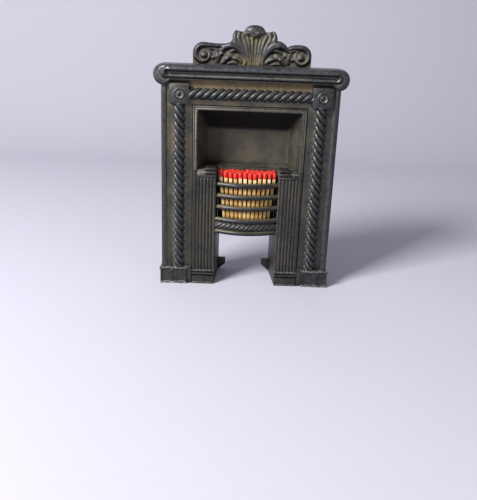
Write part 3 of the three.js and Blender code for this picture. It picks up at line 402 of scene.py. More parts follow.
def striking_paste():
    """Dried red paste, in two reds and gritty."""
    material, tree, shader, place = new_finish("Red striking paste")
    grit = add(tree, "ShaderNodeTexNoise", {"Vector": place, "Scale": per(0.3), "Detail": 3.0})
    patch = add(tree, "ShaderNodeTexNoise", {"Vector": place, "Scale": per(3), "Detail": 2.0})
    wire(tree, shader, {"Base Color": coated(tree, "#b4170c", (patch, "#e03422"))})
    matt_surface(tree, shader, grit, (0.45, 0.75), 0.1, 0.7)
    return material


match_wood = split_wood()
match_paste = striking_paste()
print("Match finishes:", match_wood.name, "and", match_paste.name)

# %% [markdown]
# ## Darkened steel for the screws
#
# The screws are turned steel, darkened by age. Turning leaves fine rings, too fine to show here,
# so a small noise stands for them. The screws keep their own solids and only get this finish.
# The floor and back plate of the basket, which nobody sees, keep theirs too.

# %% Screws, floor and back plate keep their solids
def darkened_steel():
    """Grey steel, darker and rougher in patches."""
    material, tree, shader, place = new_finish("Darkened steel")
    patch = add(tree, "ShaderNodeTexNoise", {"Vector": place, "Scale": per(0.9), "Detail": 4.0})
    wire(tree, shader, {"Base Color": coated(tree, "#3d3832", (patch, "#7d7a74"))})
    matt_surface(tree, shader, patch, (0.55, 0.3), 0.05, 0.6)
    shader.inputs["Metallic"].default_value = 0.9
    return material


steel = darkened_steel()
for name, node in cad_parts.items():
    finish = steel if name.endswith("_screw") else plate_iron
    node.data.materials.clear()
    node.data.materials.append(finish)
print("Solids painted:", len(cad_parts))

# %% [markdown]
# ## The surround
#
# The real surround is one casting: a thin front with side walls and a top wall turned back from
# it, a bead down each outer edge, and a plinth under each column. It could be cut from a solid
# block, but drawing the flat outline and pulling the rims back is how its pattern was made, and
# leaves the hollow back for free. The edges are then softened, because sand never holds a corner.

# %% Sizes of the surround
HALF = 60.6
BODY_DEPTH = 15.0
BODY_HEIGHT = 146.0
FRONT_PLATE = 3.0
SIDE_PLATE = 2.6
TOP_PLATE = 3.0
EDGE_BEAD = 4.0
COLUMN_X = 48.3
OPENING_HALF = 39.0
LINTEL_Z = 137.0
OPENING_TOP = 129.5
PLINTH_HEIGHT = 12.6
PLINTH_RISE = 2.8
BLOCK_SIZE = 13.6
BLOCK_RISE = 3.4
print("The surround is", 2 * HALF, "mm wide and", BODY_HEIGHT, "mm high")


def cut(part, place, normal, drop=False):
    """Cuts every face along a plane, and drops what lies beyond it if asked."""
    bmesh.ops.bisect_plane(
        part, geom=part.verts[:] + part.edges[:] + part.faces[:], plane_co=place,
        plane_no=normal, clear_outer=drop)


def flat_arch(outer, inner, y, foot, under, top):
    """The outline of two legs and what joins them, by half widths and heights."""
    return [
        (-outer, y, foot), (-inner, y, foot), (-inner, y, under), (inner, y, under),
        (inner, y, foot), (outer, y, foot), (outer, y, top), (-outer, y, top)]


# %% Front plate, walls and edge beads
def surround_shell():
    """The front plate with its opening, and the side and top walls pulled back from its rim."""
    part = drawn(
        flat_arch(HALF, OPENING_HALF, 0, 0, OPENING_TOP, BODY_HEIGHT), (0, FRONT_PLATE, 0))
    rim, ceiling = HALF - SIDE_PLATE, BODY_HEIGHT - TOP_PLATE
    cut(part, (rim, 0, 0), (1, 0, 0))
    cut(part, (-rim, 0, 0), (1, 0, 0))
    cut(part, (0, 0, ceiling), (0, 0, 1))
    back = [
        f for f in part.faces if f.normal.y > 0.9
        and (abs(f.calc_center_median().x) > rim or f.calc_center_median().z > ceiling)]
    made = bmesh.ops.extrude_face_region(part, geom=back)
    bmesh.ops.translate(
        part, vec=(0, BODY_DEPTH - FRONT_PLATE, 0), verts=vertices_of(made["geom"]))
    return soften(part, 0.45)


def edge_bead(side):
    """The rounded bead down the outer edge of a column."""
    middle = HALF - EDGE_BEAD / 2
    profile = [(side * (middle + u), v, PLINTH_HEIGHT - 0.4) for u, v in (
        *[(EDGE_BEAD / 2 * math.cos(a), -1.0 * math.sin(a)) for a in np.linspace(0, math.pi, 9)],
        (-EDGE_BEAD / 2, 0.6), (EDGE_BEAD / 2, 0.6),
    )]
    return swept(profile, 2, (0, 0, BODY_HEIGHT - PLINTH_HEIGHT + 0.2))


# %% [markdown]
# ### Ropes
#
# Each column and the lintel carry a rope of four strands. A strand could be a curve wound round
# the axis, but cast ropes are one body with rounded strands and deep grooves. So the section is
# a ring of four lobes, and one spin turns it and lifts it at the same time, like a screw.

# %% A twisted rope
STRANDS = 4
PER_STRAND = 9


def rope_section(radius, groove):
    """A ring of lobes, one for each strand, with grooves between them."""
    ring = []
    for i in range(STRANDS * PER_STRAND):
        angle = 2 * math.pi * i / (STRANDS * PER_STRAND)
        across = 2 * ((i % PER_STRAND) / PER_STRAND) - 1
        reach = radius - groove * (1 - math.sqrt(max(0.0, 1 - across * across)))
        ring.append((reach * math.cos(angle), reach * math.sin(angle), 0.0))
    return ring


def rope(length, radius, pitch, groove, rings_per_lead=26):
    """A rope that stands on the origin, twisted so that its strands rise to the left."""
    lead = pitch * STRANDS
    steps = math.ceil(length / lead * rings_per_lead)
    return swept(
        rope_section(radius, groove), steps, (0, 0, length), turn=-2 * math.pi * length / lead)


ROPE_RADIUS = 4.2
ROPE_PITCH = 5.2
ROPE_GROOVE = 1.3
ROPE_SUNK = 0.6
ROPE_BACK = 1.0
TUCKED = 0.5
print("One turn of a rope takes", ROPE_PITCH * STRANDS, "mm")


def cut_behind(part, depth):
    """Cuts off what lies behind a depth, and closes the cut."""
    cut(part, (0, depth, 0), (0, 1, 0), drop=True)
    return closed(part)


def column_rope(side):
    """A rope from plinth to corner block, with both ends tucked a little into them."""
    foot, top = PLINTH_HEIGHT - TUCKED, LINTEL_Z - BLOCK_SIZE / 2 + TUCKED
    part = rope(top - foot, ROPE_RADIUS, ROPE_PITCH, ROPE_GROOVE)
    return cut_behind(placed(part, (side * COLUMN_X, ROPE_SUNK, foot)), ROPE_BACK)


def lintel_rope():
    """The same rope, laid along the lintel between the corner blocks."""
    end = COLUMN_X - BLOCK_SIZE / 2 + TUCKED
    part = rope(2 * end, ROPE_RADIUS, ROPE_PITCH, ROPE_GROOVE)
    return cut_behind(placed(part, (-end, ROPE_SUNK, LINTEL_Z), math.pi / 2), ROPE_BACK)


# %% [markdown]
# ### Corner blocks and plinths
#
# A square block with a turned rosette covers each corner where two ropes meet, and a plinth
# carries each column. The rosette could be a stack of cylinders, but a rosette is turned on a
# lathe, so its profile is drawn once and spun. The sunk panels of a plinth are cut into the
# pattern with a chisel, and two insets do the same: the first marks the panel's edge and the
# second sinks it with sloping sides.

# %% Corner blocks and plinths
def turned(profile, place, towards, steps=32):
    """A profile of radius and height, spun round its axis and stood on a place."""
    part = bmesh.new()
    line = [part.verts.new((r, 0, h)) for r, h in profile]
    edges = [part.edges.new(pair) for pair in zip(line, line[1:])]
    bmesh.ops.spin(
        part, geom=line + edges, cent=(0, 0, 0), axis=(0, 0, 1), dvec=(0, 0, 0),
        angle=2 * math.pi, steps=steps, use_merge=True, use_duplicate=False)
    bmesh.ops.remove_doubles(part, verts=part.verts, dist=1e-4)
    turn = Vector((0, 0, 1)).rotation_difference(Vector(towards)).to_matrix()
    bmesh.ops.rotate(part, cent=(0, 0, 0), matrix=turn, verts=part.verts)
    bmesh.ops.translate(part, vec=place, verts=part.verts)
    bmesh.ops.recalc_face_normals(part, faces=part.faces)
    return part


def second_finish(part):
    """Marks the faces of a part for the second finish of its piece."""
    for face in part.faces:
        face.material_index = 1
    return part


def corner_block(side):
    """A square block with a turned rosette, where a column meets the lintel."""
    x, half = side * COLUMN_X, BLOCK_SIZE / 2
    part = block((x - half, -BLOCK_RISE, LINTEL_Z - half), (x + half, 0.5, LINTEL_Z + half), 0.5)
    rosette = turned([
        (0, -0.5), (3.95, -0.5), (3.95, 0.35), (3.7, 0.75), (3.2, 0.95), (2.75, 0.75), (2.45, 0.3),
        (2.2, 0.12), (1.75, 0.12), (1.6, 0.5), (1.2, 0.9), (0.6, 1.05), (0, 1.08),
    ], (x, -BLOCK_RISE, LINTEL_Z), (0, -1, 0))
    into(part, rosette)
    return second_finish(part)


def plinth(side):
    """A plinth under rope and bead: two sunk panels between a foot and a top moulding."""
    inner, outer = COLUMN_X - 5.7, HALF + 1.0
    divide = COLUMN_X + ROPE_RADIUS + 0.8
    part = block((inner, -PLINTH_RISE, 0), (outer, FRONT_PLATE, PLINTH_HEIGHT))
    cut(part, (divide, 0, 0), (1, 0, 0))
    fronts = [f for f in part.faces if f.normal.y < -0.9]
    bmesh.ops.inset_individual(part, faces=fronts, thickness=1.3, depth=0.0)
    bmesh.ops.inset_individual(part, faces=fronts, thickness=0.8, depth=-0.9)
    soften(part, 0.3)
    for low, high, rise in ((0.0, 1.5, 0.3), (PLINTH_HEIGHT - 1.9, PLINTH_HEIGHT, 0.45)):
        into(part, block(
            (inner - rise, -PLINTH_RISE - rise, low), (outer + rise, 0, high), 0.35))
    into(part, block((HALF - 0.5, 0, 0), (outer, BODY_DEPTH, PLINTH_HEIGHT), 0.4))
    into(part, block((OPENING_HALF, -1.6, 0), (inner + 0.5, FRONT_PLATE, 13.6), 0.5))
    if side < 0:
        bmesh.ops.scale(part, vec=(-1, 1, 1), verts=part.verts)
        bmesh.ops.recalc_face_normals(part, faces=part.faces)
    return part


# %% The surround, put together
surround = surround_shell()
for side in (-1, 1):
    for make in (corner_block, plinth):
        into(surround, make(side))
    for make in (edge_bead, column_rope):
        into(surround, second_finish(make(side)))
into(surround, second_finish(lintel_rope()))
finished(surround, "surround_casting", [blackened_iron, rope_iron], ["surround"])

# %% [markdown]
# ## The mantel shelf
#
# The shelf's front is a nose bead, a hollow cove and a lower bead. At each end the moulding
# turns round a half circle, so that the cove ends in a rounded pocket, and outside it the metal
# swells into a blunt knob. A straight sweep can't turn that corner. So a flat grid is laid out
# by two numbers, a place along the front and a distance from the cove's middle line, and each
# point takes its place from a profile: one for the top, one for the end and one for the bottom,
# blended by how far round the half circle it lies.

# %% The shelf
SHELF_TOP = 156.0
COVE_X, COVE_Z = 54.1, 150.5
ROLL_X, ROLL_Z, ROLL_RADIUS = 59.2, 149.0, 7.0
COVE_EDGE = 3.9

TOP_LINE = [
    (0, -5.3), (0.6, -5.35), (0.95, -5.9), (1.1, -7.0), (1.35, -8.1), (1.8, -8.8), (2.4, -9.0),
    (3.3, -8.75), (4.2, -8.1), (4.9, -7.1), (5.35, -5.9), (5.5, -4.2), (5.5, 5), (5.5, 15),
]
END_LINE = [
    (0, -5.3), (1.3, -5.3), (2.2, -5.5), (2.9, -6.3), (3.4, -7.4), (4.1, -8.1), (5.0, -7.8),
    (5.7, -6.5), (6.3, -6.0), (8.0, -5.9), (10.2, -4.1), (11.5, -1.2), (12, 2.5), (12, 15),
]
LOW_LINE = [
    (0, -5.3), (0.5, -5.35), (0.8, -5.9), (1.25, -6.6), (2.05, -6.85), (2.8, -6.6), (3.2, -5.9),
    (3.35, -5.1), (3.55, -4.9), (3.7, -5.2), (4.0, -5.4), (4.45, -5.2), (4.5, 5), (4.5, 15),
]


def moved(part, change):
    """Moves every point of a part by a formula of its own place."""
    for v in part.verts:
        v.co = change(v.co.copy())
    return part


def smooth_line(line, count):
    """Evenly shared points on a profile of distance and depth."""
    line = np.array(line, float)
    shares = np.linspace(0, len(line) - 1, count)
    return np.array([np.interp(shares, range(len(line)), line[:, k]) for k in (0, 1)]).T


def knob_reach(angle):
    """How far the knob's outline lies from the end of the cove's middle line."""
    ahead = Vector((math.sin(angle), math.cos(angle)))
    offset = Vector((COVE_X - ROLL_X, COVE_Z - ROLL_Z))
    along = ahead.dot(offset)
    reach = -along + math.sqrt(along * along - offset.length_squared + ROLL_RADIUS ** 2)
    if ahead.y > 0 and COVE_X + ahead.x * reach < ROLL_X:
        reach = (SHELF_TOP - COVE_Z) / ahead.y
    return reach


def shelf():
    """The shelf, from a grid whose columns run round the front and whose rows run back."""
    across, round_end, rows = 60, 30, 53
    top, end, low = (smooth_line(line, rows) for line in (TOP_LINE, END_LINE, LOW_LINE))
    loop = 2 * (across + round_end)
    part = bmesh.new()
    bmesh.ops.create_grid(part, x_segments=loop, y_segments=rows - 1, size=0.5)

    def shaped(co):
        step = round((co.x + 0.5) * loop)
        row = round((co.y + 0.5) * (rows - 1))
        side, angle, x = 1, 0.0, 0.0
        if step <= across:
            x = COVE_X * (2 * step / across - 1)
        elif step <= across + round_end:
            angle, x = math.pi * (step - across) / round_end, COVE_X
        elif step <= 2 * across + round_end:
            angle, x = math.pi, COVE_X * (1 - 2 * (step - across - round_end) / across)
        else:
            angle, x = math.pi * (1 - (step - 2 * across - round_end) / round_end), -COVE_X
            side = -1
        turning = math.sin(angle) ** 2
        upper, lower = (top, end) if angle <= math.pi / 2 else (low, end)
        r, y = upper[row] * (1 - turning) + lower[row] * turning
        if 0 < angle < math.pi:
            edge = upper[-1][0] * (1 - turning) + lower[-1][0] * turning
            grow = max(0.0, (r - COVE_EDGE) / (edge - COVE_EDGE)) if edge > COVE_EDGE else 0.0
            r += grow * (knob_reach(angle) - edge) * min(1.0, (math.pi - angle) / 0.5)
        z = COVE_Z + r * math.cos(angle)
        x += side * r * math.sin(angle)
        if z < BODY_HEIGHT - 0.05 and abs(x) < HALF + 0.3:
            y = min(y, -1.3)
        return Vector((x, y, z))

    moved(part, shaped)
    bmesh.ops.remove_doubles(part, verts=part.verts, dist=0.01)
    return closed(part)


finished(shelf(), "mantel_shelf_casting", [shelf_iron], ["mantel_shelf"], limit=60)

# %% [markdown]
# ## The crest
#
# The crest is a flat plate in high relief: a fluted fan with an overturned tip, side leaves, a
# scroll over each shoulder that rolls into a volute, and round buds below. Sculpting it by hand
# gives no sizes to explain, and many small bodies pushed together look pushed together. Here a
# fine grid is cut to the outline, and every point is pulled forward by a height formula: each
# leaf, rib and scroll is a curve with a width and a rise, and the highest one wins softly.

# %% Outline of the crest
CREST_FACE = 10.2
CREST_BACK = 13.6
CREST_HALF = 40.1
CREST_TOP = 25.9
VOLUTE_RADIUS = 7.1
FAN_SHIFT = 1.3
FAN_HALF = 17.0


def curve_points(points, count):
    """Points on a Bezier curve of any degree."""
    shares = np.linspace(0, 1, count)[:, None]
    rest = [np.array(p, float)[None, :] * np.ones((count, 1)) for p in points]
    while len(rest) > 1:
        rest = [a * (1 - shares) + b * shares for a, b in zip(rest, rest[1:])]
    return rest[0]


VOLUTE_X = CREST_HALF - VOLUTE_RADIUS


def half_outline(shoulder):
    """The outline from a lower corner over the volute and one shoulder to the top."""
    around = np.radians(np.linspace(0, 90, 14))
    volute = VOLUTE_RADIUS * np.stack([np.cos(around), 1 + np.sin(around)], 1)
    parts = [np.array([(CREST_HALF, 0.0)]), volute + [VOLUTE_X, 0]]
    last = (VOLUTE_X, 2 * VOLUTE_RADIUS)
    to_top = [
        [(15.4, 20.6), (12.5, 22.5)], [(9.6, 21.2), (7, 21.8)],
        [(5.8, CREST_TOP), (0, CREST_TOP)]]
    for bend, end in shoulder + to_top:
        parts.append(curve_points([last, bend, end], 11)[1:])
        last = end
    return np.concatenate(parts)


def fan_shift(x):
    """The fan stands a little to the right, and the volutes stay where they are."""
    return FAN_SHIFT * np.clip((VOLUTE_X - np.abs(x)) / (VOLUTE_X - FAN_HALF), 0, 1)


right_half = half_outline([[(25.6, 14.6), (22.8, 12.3)], [(20.6, 15.8), (15.2, 16.6)]])
left_half = half_outline([[(24, 13.2), (20, 13.6)], [(15.4, 14.1), (14.9, 17)]])
outline = np.concatenate([right_half, left_half[-2::-1] * [-1, 1]])
outline[:, 0] += fan_shift(outline[:, 0])
print("The crest's outline has", len(outline), "points")


def inside(points, polygon):
    """Which points lie inside a closed polygon."""
    found = np.zeros(len(points), bool)
    for (x0, z0), (x1, z1) in zip(polygon, np.roll(polygon, -1, 0)):
        crosses = (z0 > points[:, 1]) != (z1 > points[:, 1])
        at = (x1 - x0) * (points[:, 1] - z0) / ((z1 - z0) or 1e-9) + x0
        found ^= crosses & (points[:, 0] < at)
    return found


def nearest_on(line, points):
    """The nearest place on a polyline for each point, its distance and its share of the way."""
    starts, steps = line[:-1], np.diff(line, axis=0)
    lengths = np.maximum((steps ** 2).sum(1), 1e-12)
    t = ((points[:, None] - starts[None]) * steps[None]).sum(2) / lengths
    t = np.clip(t, 0, 1)
    places = starts[None] + t[..., None] * steps[None]
    gaps = np.sqrt(((points[:, None] - places) ** 2).sum(2))
    best = gaps.argmin(1)
    rows = np.arange(len(points))
    return places[rows, best], gaps[rows, best], (best + t[rows, best]) / len(starts)


# %% [markdown]
# ### Ridges, knobs and fillets
#
# A carver lays out leaves as strokes: each has a middle line, swells and narrows along its way,
# and may have a vein cut down its back. A stroke is written here as the same few numbers. Where
# two of them meet, a small fillet joins them, because moulding sand can't hold a sharp cleft.

# %% Ridges, knobs and fillets
def raised(gap, radius, rise):
    """The height of a round-backed ridge at a distance from its middle line."""
    return rise * np.clip(1 - (gap / radius) ** 2, 0, 1) ** 0.5


def ridge(points, line, radii, rises, vein=0.0):
    """A ridge along a curve, with its radius and rise at even stations and a cut vein."""
    _, gap, share = nearest_on(line, points)
    stations = np.linspace(0, 1, len(radii))
    radius, rise = np.interp(share, stations, radii), np.interp(share, stations, rises)
    return raised(gap, radius, rise) - vein * np.exp(-(gap / 0.35) ** 2) * (gap < radius)


def knob(points, centre, radius, rise):
    """A round knob on a centre."""
    return raised(np.sqrt(((points - centre) ** 2).sum(1)), radius, rise)


def merged(first, second, width=0.5):
    """The higher of two heights, with a small fillet where they meet."""
    both = np.clip(np.minimum(first, second) / 0.4, 0, 1)
    near = np.clip(width - np.abs(first - second), 0, None) / width * both
    return np.maximum(first, second) + near ** 2 * width / 4


def spiral_line(start, end, outer, inner):
    """A line that runs round the volute's middle while it draws inwards."""
    angles = np.radians(np.linspace(start, end, 48))
    reach = np.interp(np.linspace(0, 1, 48), [0, 0.55, 1], [outer, outer, inner])
    turning = reach[:, None] * np.stack([np.cos(angles), np.sin(angles)], 1)
    return turning + [VOLUTE_X, VOLUTE_RADIUS]


# %% The strokes of the relief
FAN = [  # curve, radii, rises, vein
    # horn leaf beside the flutes
    ([(5.6, 5.0), (9.6, 13.0), (16.0, 16.0), (13.0, 21.6)],
     [0.9, 1.6, 2.2, 1.0], [1.6, 2.8, 3.8, 2.8], 0.6),
    ([(4.6, 3.0), (6.2, 13.5), (12.4, 15.0), (10.2, 21.0)],
     [0.8, 1.2, 1.8, 1.3], [1.6, 2.6, 3.2, 3.0], 0.0),
    # flutes
    ([(3.5, 0.0), (3.9, 9.0), (5.8, 14.5), (8.0, 19.2)],
     [0.75, 0.95, 1.4, 1.3], [1.6, 2.3, 2.9, 2.8], 0.0),
    ([(2.1, 0.0), (2.3, 8.5), (3.4, 14.0), (5.0, 18.8)],
     [0.62, 0.8, 1.15, 1.0], [1.5, 2.1, 2.6, 2.4], 0.0),
    ([(0.7, 0.0), (0.8, 8.0), (1.2, 13.5), (1.7, 18.4)],
     [0.58, 0.72, 0.95, 0.9], [1.5, 2.0, 2.4, 2.2], 0.0),
    # the fan's edge, where it meets the spray
    ([(6.2, 0.6), (5.4, 3.0), (5.8, 6.0)], [0.9, 0.8, 0.7], [1.8, 2.0, 1.8], 0.0),
]
LEFT_SHOULDER = [
    # the volute's band, and the thin fillet under it
    ([(16.5, 13.6), (22, 11.4), (28, 12.2), (33.0, 12.5)],
     [1.0, 1.5, 1.7], [1.8, 2.3, 2.7], 0.0),
    ([(21, 9.4), (25, 8.8), (27.5, 10.6), (31, 10.0)],
     [0.5, 0.8, 0.5], [1.2, 1.6, 1.2], 0.0),
    # shoulder leaf, its turned edge and its drooping tip
    ([(5.4, 2.0), (7.6, 12.4), (17.5, 16.2), (21.2, 9.4)],
     [1.0, 2.4, 2.9, 1.3], [1.8, 3.4, 4.6, 2.8], 0.7),
    ([(10.8, 8.6), (13.0, 9.8), (15.6, 9.6), (17.0, 7.4)],
     [0.7, 1.1, 0.7], [2.0, 2.9, 2.0], 0.0),
]
RIGHT_SHOULDER = [
    ([(21.5, 9.8), (24.6, 12.2), (28, 12.6), (33.0, 12.5)],
     [0.8, 1.5, 1.7], [1.6, 2.3, 2.7], 0.0),
    ([(20.5, 7.6), (24, 9.4), (27.5, 10.6), (31, 10.0)],
     [0.5, 0.8, 0.5], [1.2, 1.6, 1.2], 0.0),
    ([(5.4, 2.0), (8.2, 13.2), (18.0, 17.4), (23.0, 9.6)],
     [1.0, 2.4, 2.9, 1.2], [1.8, 3.4, 4.6, 2.6], 0.7),
    ([(13.4, 14.6), (16.4, 15.6), (19.6, 14.6), (22.0, 12.2)],
     [0.8, 1.1, 0.8], [3.0, 3.6, 2.4], 0.0),
    ([(10.8, 8.8), (13.4, 10.4), (16.4, 10.2), (18.4, 8.0)],
     [0.7, 1.1, 0.7], [2.0, 2.9, 2.0], 0.0),
]
SPRAY = [
    ([(20.6, 1.4), (18.6, 4.6), (15.2, 6.4)], [1.3, 2.2, 1.4], [1.6, 2.9, 1.9], 0.25),
    ([(14.4, 4.6), (11.6, 4.8), (8.6, 2.2)], [1.2, 2.1, 1.2], [1.8, 2.7, 1.6], 0.25),
    ([(25.0, 8.0), (23.2, 5.6), (24.0, 2.4)], [1.1, 1.9, 1.2], [1.6, 2.6, 1.6], 0.2),
    ([(17.2, 1.0), (14.4, 1.8), (12.0, 1.0)], [0.9, 1.3, 0.9], [1.2, 1.8, 1.0], 0.0),
]
BUDS = [  # centre, radius, rise
    ((21.8, 7.0), 1.5, 2.4), ((17.8, 4.2), 1.7, 3.2), ((12.6, 4.4), 1.6, 3.0),
    ((26.8, 4.4), 1.3, 1.8),
]


strokes_in_all = len(FAN) + len(LEFT_SHOULDER) + len(RIGHT_SHOULDER) + len(SPRAY)
print("The relief has", strokes_in_all, "strokes and", len(BUDS), "buds")


# %% The crest, raised from its grid
def half_relief(p, strokes):
    """The relief of one half, with distances taken outwards from the middle."""
    height = np.zeros(len(p))
    for line, radii, rises, vein in strokes:
        height = merged(height, ridge(p, curve_points(line, 24), radii, rises, vein))
    for centre, radius, rise in BUDS:
        height = merged(height, knob(p, centre, radius, rise))
    rim = spiral_line(95, -215, VOLUTE_RADIUS - 1.8, 3.5)
    height = merged(height, ridge(p, rim, [1.75, 1.7, 1.4, 0.6], [2.7, 2.6, 2.2, 1.2]))
    return merged(height, knob(p, (VOLUTE_X - 0.3, VOLUTE_RADIUS - 1.3), 2.6, 3.9))


def curled_tip(p):
    """The fan's tip rolls over: a low dome, a lip below it and a dark hole each side of the lip."""
    across, up = p[:, 0] / 7.1, (p[:, 1] - 20.4) / 5.6
    dome = 2.5 * np.clip(1 - across ** 2 - up ** 2, 0, 1) ** 0.5
    height = np.where(p[:, 1] > 18.6, dome, 0.0)
    lip = np.array([(0, 18.8), (2.4, 20.6), (5.4, 21.2), (6.8, 19.8)])
    return merged(height, ridge(p, lip, [1.3, 1.0, 0.8, 0.6], [3.9, 3.5, 3.0, 2.2]), 1.2)


def crest_relief(points):
    """The height of the relief over the plate, for points of the whole crest."""
    across = points[:, 0] - fan_shift(points[:, 0])
    p = np.stack([np.abs(across), points[:, 1]], 1)
    left = half_relief(p, FAN + LEFT_SHOULDER + SPRAY)
    right = half_relief(p, FAN + RIGHT_SHOULDER + SPRAY)
    height = merged(0.78 * np.where(across < 0, left, right), curled_tip(p))
    hole = np.hypot((p[:, 0] - 3.5) / 1.6, (p[:, 1] - 18.9) / 1.1)
    height -= 2.8 * np.clip(1 - hole ** 2, 0, 1) ** 0.7
    # the edge of the plate falls away all round
    _, from_edge, _ = nearest_on(outline, points)
    return np.maximum(height, -0.6) * np.clip(from_edge / 0.8, 0, 1) ** 0.5


def crest():
    """The crest: a grid cut to the outline, raised by the relief and given a thickness."""
    low, high = outline.min(0), outline.max(0)
    cell = 0.36
    counts = [math.ceil((b - a) / cell) for a, b in zip(low, high)]
    part = bmesh.new()
    bmesh.ops.create_grid(part, x_segments=counts[0], y_segments=counts[1], size=0.5)
    moved(part, lambda co: Vector((
        low[0] + (co.x + 0.5) * (high[0] - low[0]), CREST_FACE,
        low[1] + (co.y + 0.5) * (high[1] - low[1]))))
    middles = np.array([tuple(f.calc_center_median()) for f in part.faces])[:, [0, 2]]
    outside = [f for f, keep in zip(part.faces[:], inside(middles, outline)) if not keep]
    bmesh.ops.delete(part, geom=outside, context="FACES")
    border = [v for v in part.verts if v.is_boundary and v.co.z > 0.01]
    loop = np.concatenate([outline, outline[:1]])
    places, _, _ = nearest_on(loop, np.array([(v.co.x, v.co.z) for v in border]))
    for v, (x, z) in zip(border, places):
        v.co.x, v.co.z = x, max(0.0, z)
    flat = np.array([(v.co.x, v.co.z) for v in part.verts])
    # the sand softens every line, so each height is a mean over its surroundings
    around = [(0.0, 0.0), (0.6, 0.0), (-0.6, 0.0), (0.0, 0.6), (0.0, -0.6)]
    heights = sum(crest_relief(flat + offset) for offset in around) / len(around)
    for v, height in zip(part.verts, heights):
        v.co.y = CREST_FACE - height
    rim = [e for e in part.edges if e.is_boundary]
    made = bmesh.ops.extrude_edge_only(part, edges=rim)
    for v in vertices_of(made["geom"]):
        v.co.y = CREST_BACK
    return placed(closed(part), (0, 0, SHELF_TOP))


finished(crest(), "crest_casting", [crest_iron], ["crest"], limit=70)

# %% [markdown]
# ## The recess above the matches
#
# Behind the basket lies a shallow recess, like the throat of a fireplace: its cheeks lean in, a
# fluted hood slopes down from the top, and a flat back wall closes it. All corners inside are
# rounded. The mouth's edge is drawn once and swept straight back, and then a formula narrows it,
# lowers the hood and rolls the last steps into the back wall.

# %% The recess shell
HOB_HEIGHT = 85.4
RECESS_HALF = 36.0
RECESS_TOP = 126.5
RECESS_DEPTH = 22.0
RECESS_SPLAY = 6.4
HOOD_DROP, HOOD_SAG = 14.2, 9.8
FLUTED_HALF, FLUTE_PITCH, FLUTE_DEPTH = 27.0, 2.6, 0.45
MOUTH_CORNER = 1.5
SHELL = 2.2


def mouth_edge():
    """The open edge of the mouth, up the left side, over the top and down the right."""
    turn, reach = RECESS_TOP - MOUTH_CORNER, RECESS_HALF - MOUTH_CORNER
    left = [(-RECESS_HALF, z) for z in np.linspace(HOB_HEIGHT, turn, 12)]
    corner = [(-reach - MOUTH_CORNER * math.cos(a), turn + MOUTH_CORNER * math.sin(a))
              for a in np.linspace(0, math.pi / 2, 5)][1:-1]
    top = [(x, RECESS_TOP) for x in np.linspace(-reach, reach, 160)]
    half = left + corner
    return half + top + [(-x, z) for x, z in reversed(half)]


def recess():
    """Hood, cheeks and back wall: the mouth's edge swept back, narrowed and thickened."""
    part = bmesh.new()
    line = [part.verts.new((x, 0, z)) for x, z in mouth_edge()]
    edges = [part.edges.new(pair) for pair in zip(line, line[1:])]
    straight, rounded, bend = 14, 5, 1.8
    steps = straight + rounded
    bmesh.ops.spin(
        part, geom=line + edges, cent=(0, 0, 0), axis=(0, 0, 1), dvec=(0, 1, 0), angle=0,
        steps=steps, use_merge=False, use_duplicate=False)

    def narrowed(co):
        step = round(co.y)
        if step <= straight:
            y, inset = (RECESS_DEPTH - bend) * step / straight, 0.0
        else:
            angle = (step - straight) / rounded * math.pi / 2
            y = RECESS_DEPTH - bend + bend * math.sin(angle)
            inset = bend * (1 - math.cos(angle))
        share = y / RECESS_DEPTH
        half = RECESS_HALF - RECESS_SPLAY * share - inset
        top = RECESS_TOP - HOOD_SAG * share ** 2 - (HOOD_DROP - HOOD_SAG) * share - inset
        x = co.x * half / RECESS_HALF
        z = HOB_HEIGHT + (co.z - HOB_HEIGHT) * (top - HOB_HEIGHT) / (RECESS_TOP - HOB_HEIGHT)
        if co.z > RECESS_TOP - 0.01 and 0 < step < straight + 2:
            fade = max(0.0, 1 - (abs(x) / FLUTED_HALF) ** 6)
            fade *= math.sin(math.pi * step / (straight + 2)) ** 0.5
            z -= FLUTE_DEPTH * fade * (0.5 + 0.5 * math.cos(2 * math.pi * x / FLUTE_PITCH))
        return Vector((x, y - 1.0 * (step == 0), z))

    moved(part, narrowed)
    rear = [v for v in part.verts if v.co.y > RECESS_DEPTH - 0.001]
    rear_edges = [e for e in part.edges if e.is_boundary and all(v in rear for v in e.verts)]
    ends = [v for v in rear if abs(v.co.z - HOB_HEIGHT) < 0.01]
    rear_edges.append(part.edges.new(ends))
    bmesh.ops.contextual_create(part, geom=rear_edges)
    bmesh.ops.recalc_face_normals(part, faces=part.faces)
    back = max(part.faces, key=lambda f: f.calc_area())
    if back.normal.y > 0:
        bmesh.ops.reverse_faces(part, faces=part.faces)
    bmesh.ops.solidify(part, geom=part.faces[:], thickness=SHELL)
    return part


def mitred(section, stations):
    """A section of outward and forward distances, swept along corners that it turns with."""
    last = len(stations) - 1
    part = swept([(0, v, u) for u, v in section], last, (last, 0, 0))

    def at_station(co):
        x, z, across, up = stations[round(co.x)]
        return Vector((x + across * co.z, co.y, z + up * co.z))

    return moved(part, at_station)


def recess_frame():
    """The moulded frame round the mouth: two beads with a groove between them."""
    section = [
        (-0.1, 1.5), (-0.1, -0.5), (0.15, -1.0), (0.55, -1.2), (1.0, -1.1), (1.25, -0.75),
        (1.4, -0.5), (1.75, -0.5), (1.9, -0.85), (2.2, -1.1), (2.5, -1.0), (2.68, -0.6), (2.7, 1.5),
    ]
    h, foot, t = RECESS_HALF, HOB_HEIGHT, RECESS_TOP
    return mitred(section, [(-h, foot, -1, 0), (-h, t, -1, 1), (h, t, 1, 1), (h, foot, 1, 0)])


# %% [markdown]
# ### The fireback, put together
#
# A flat flange round the recess lies behind the surround and takes the screws, and a panel on it
# fills the surround's opening. At the foot of the back wall a sill and a thin lip bridge the
# gap to the basket. Each is drawn or swept on its own and joins the casting's mesh.

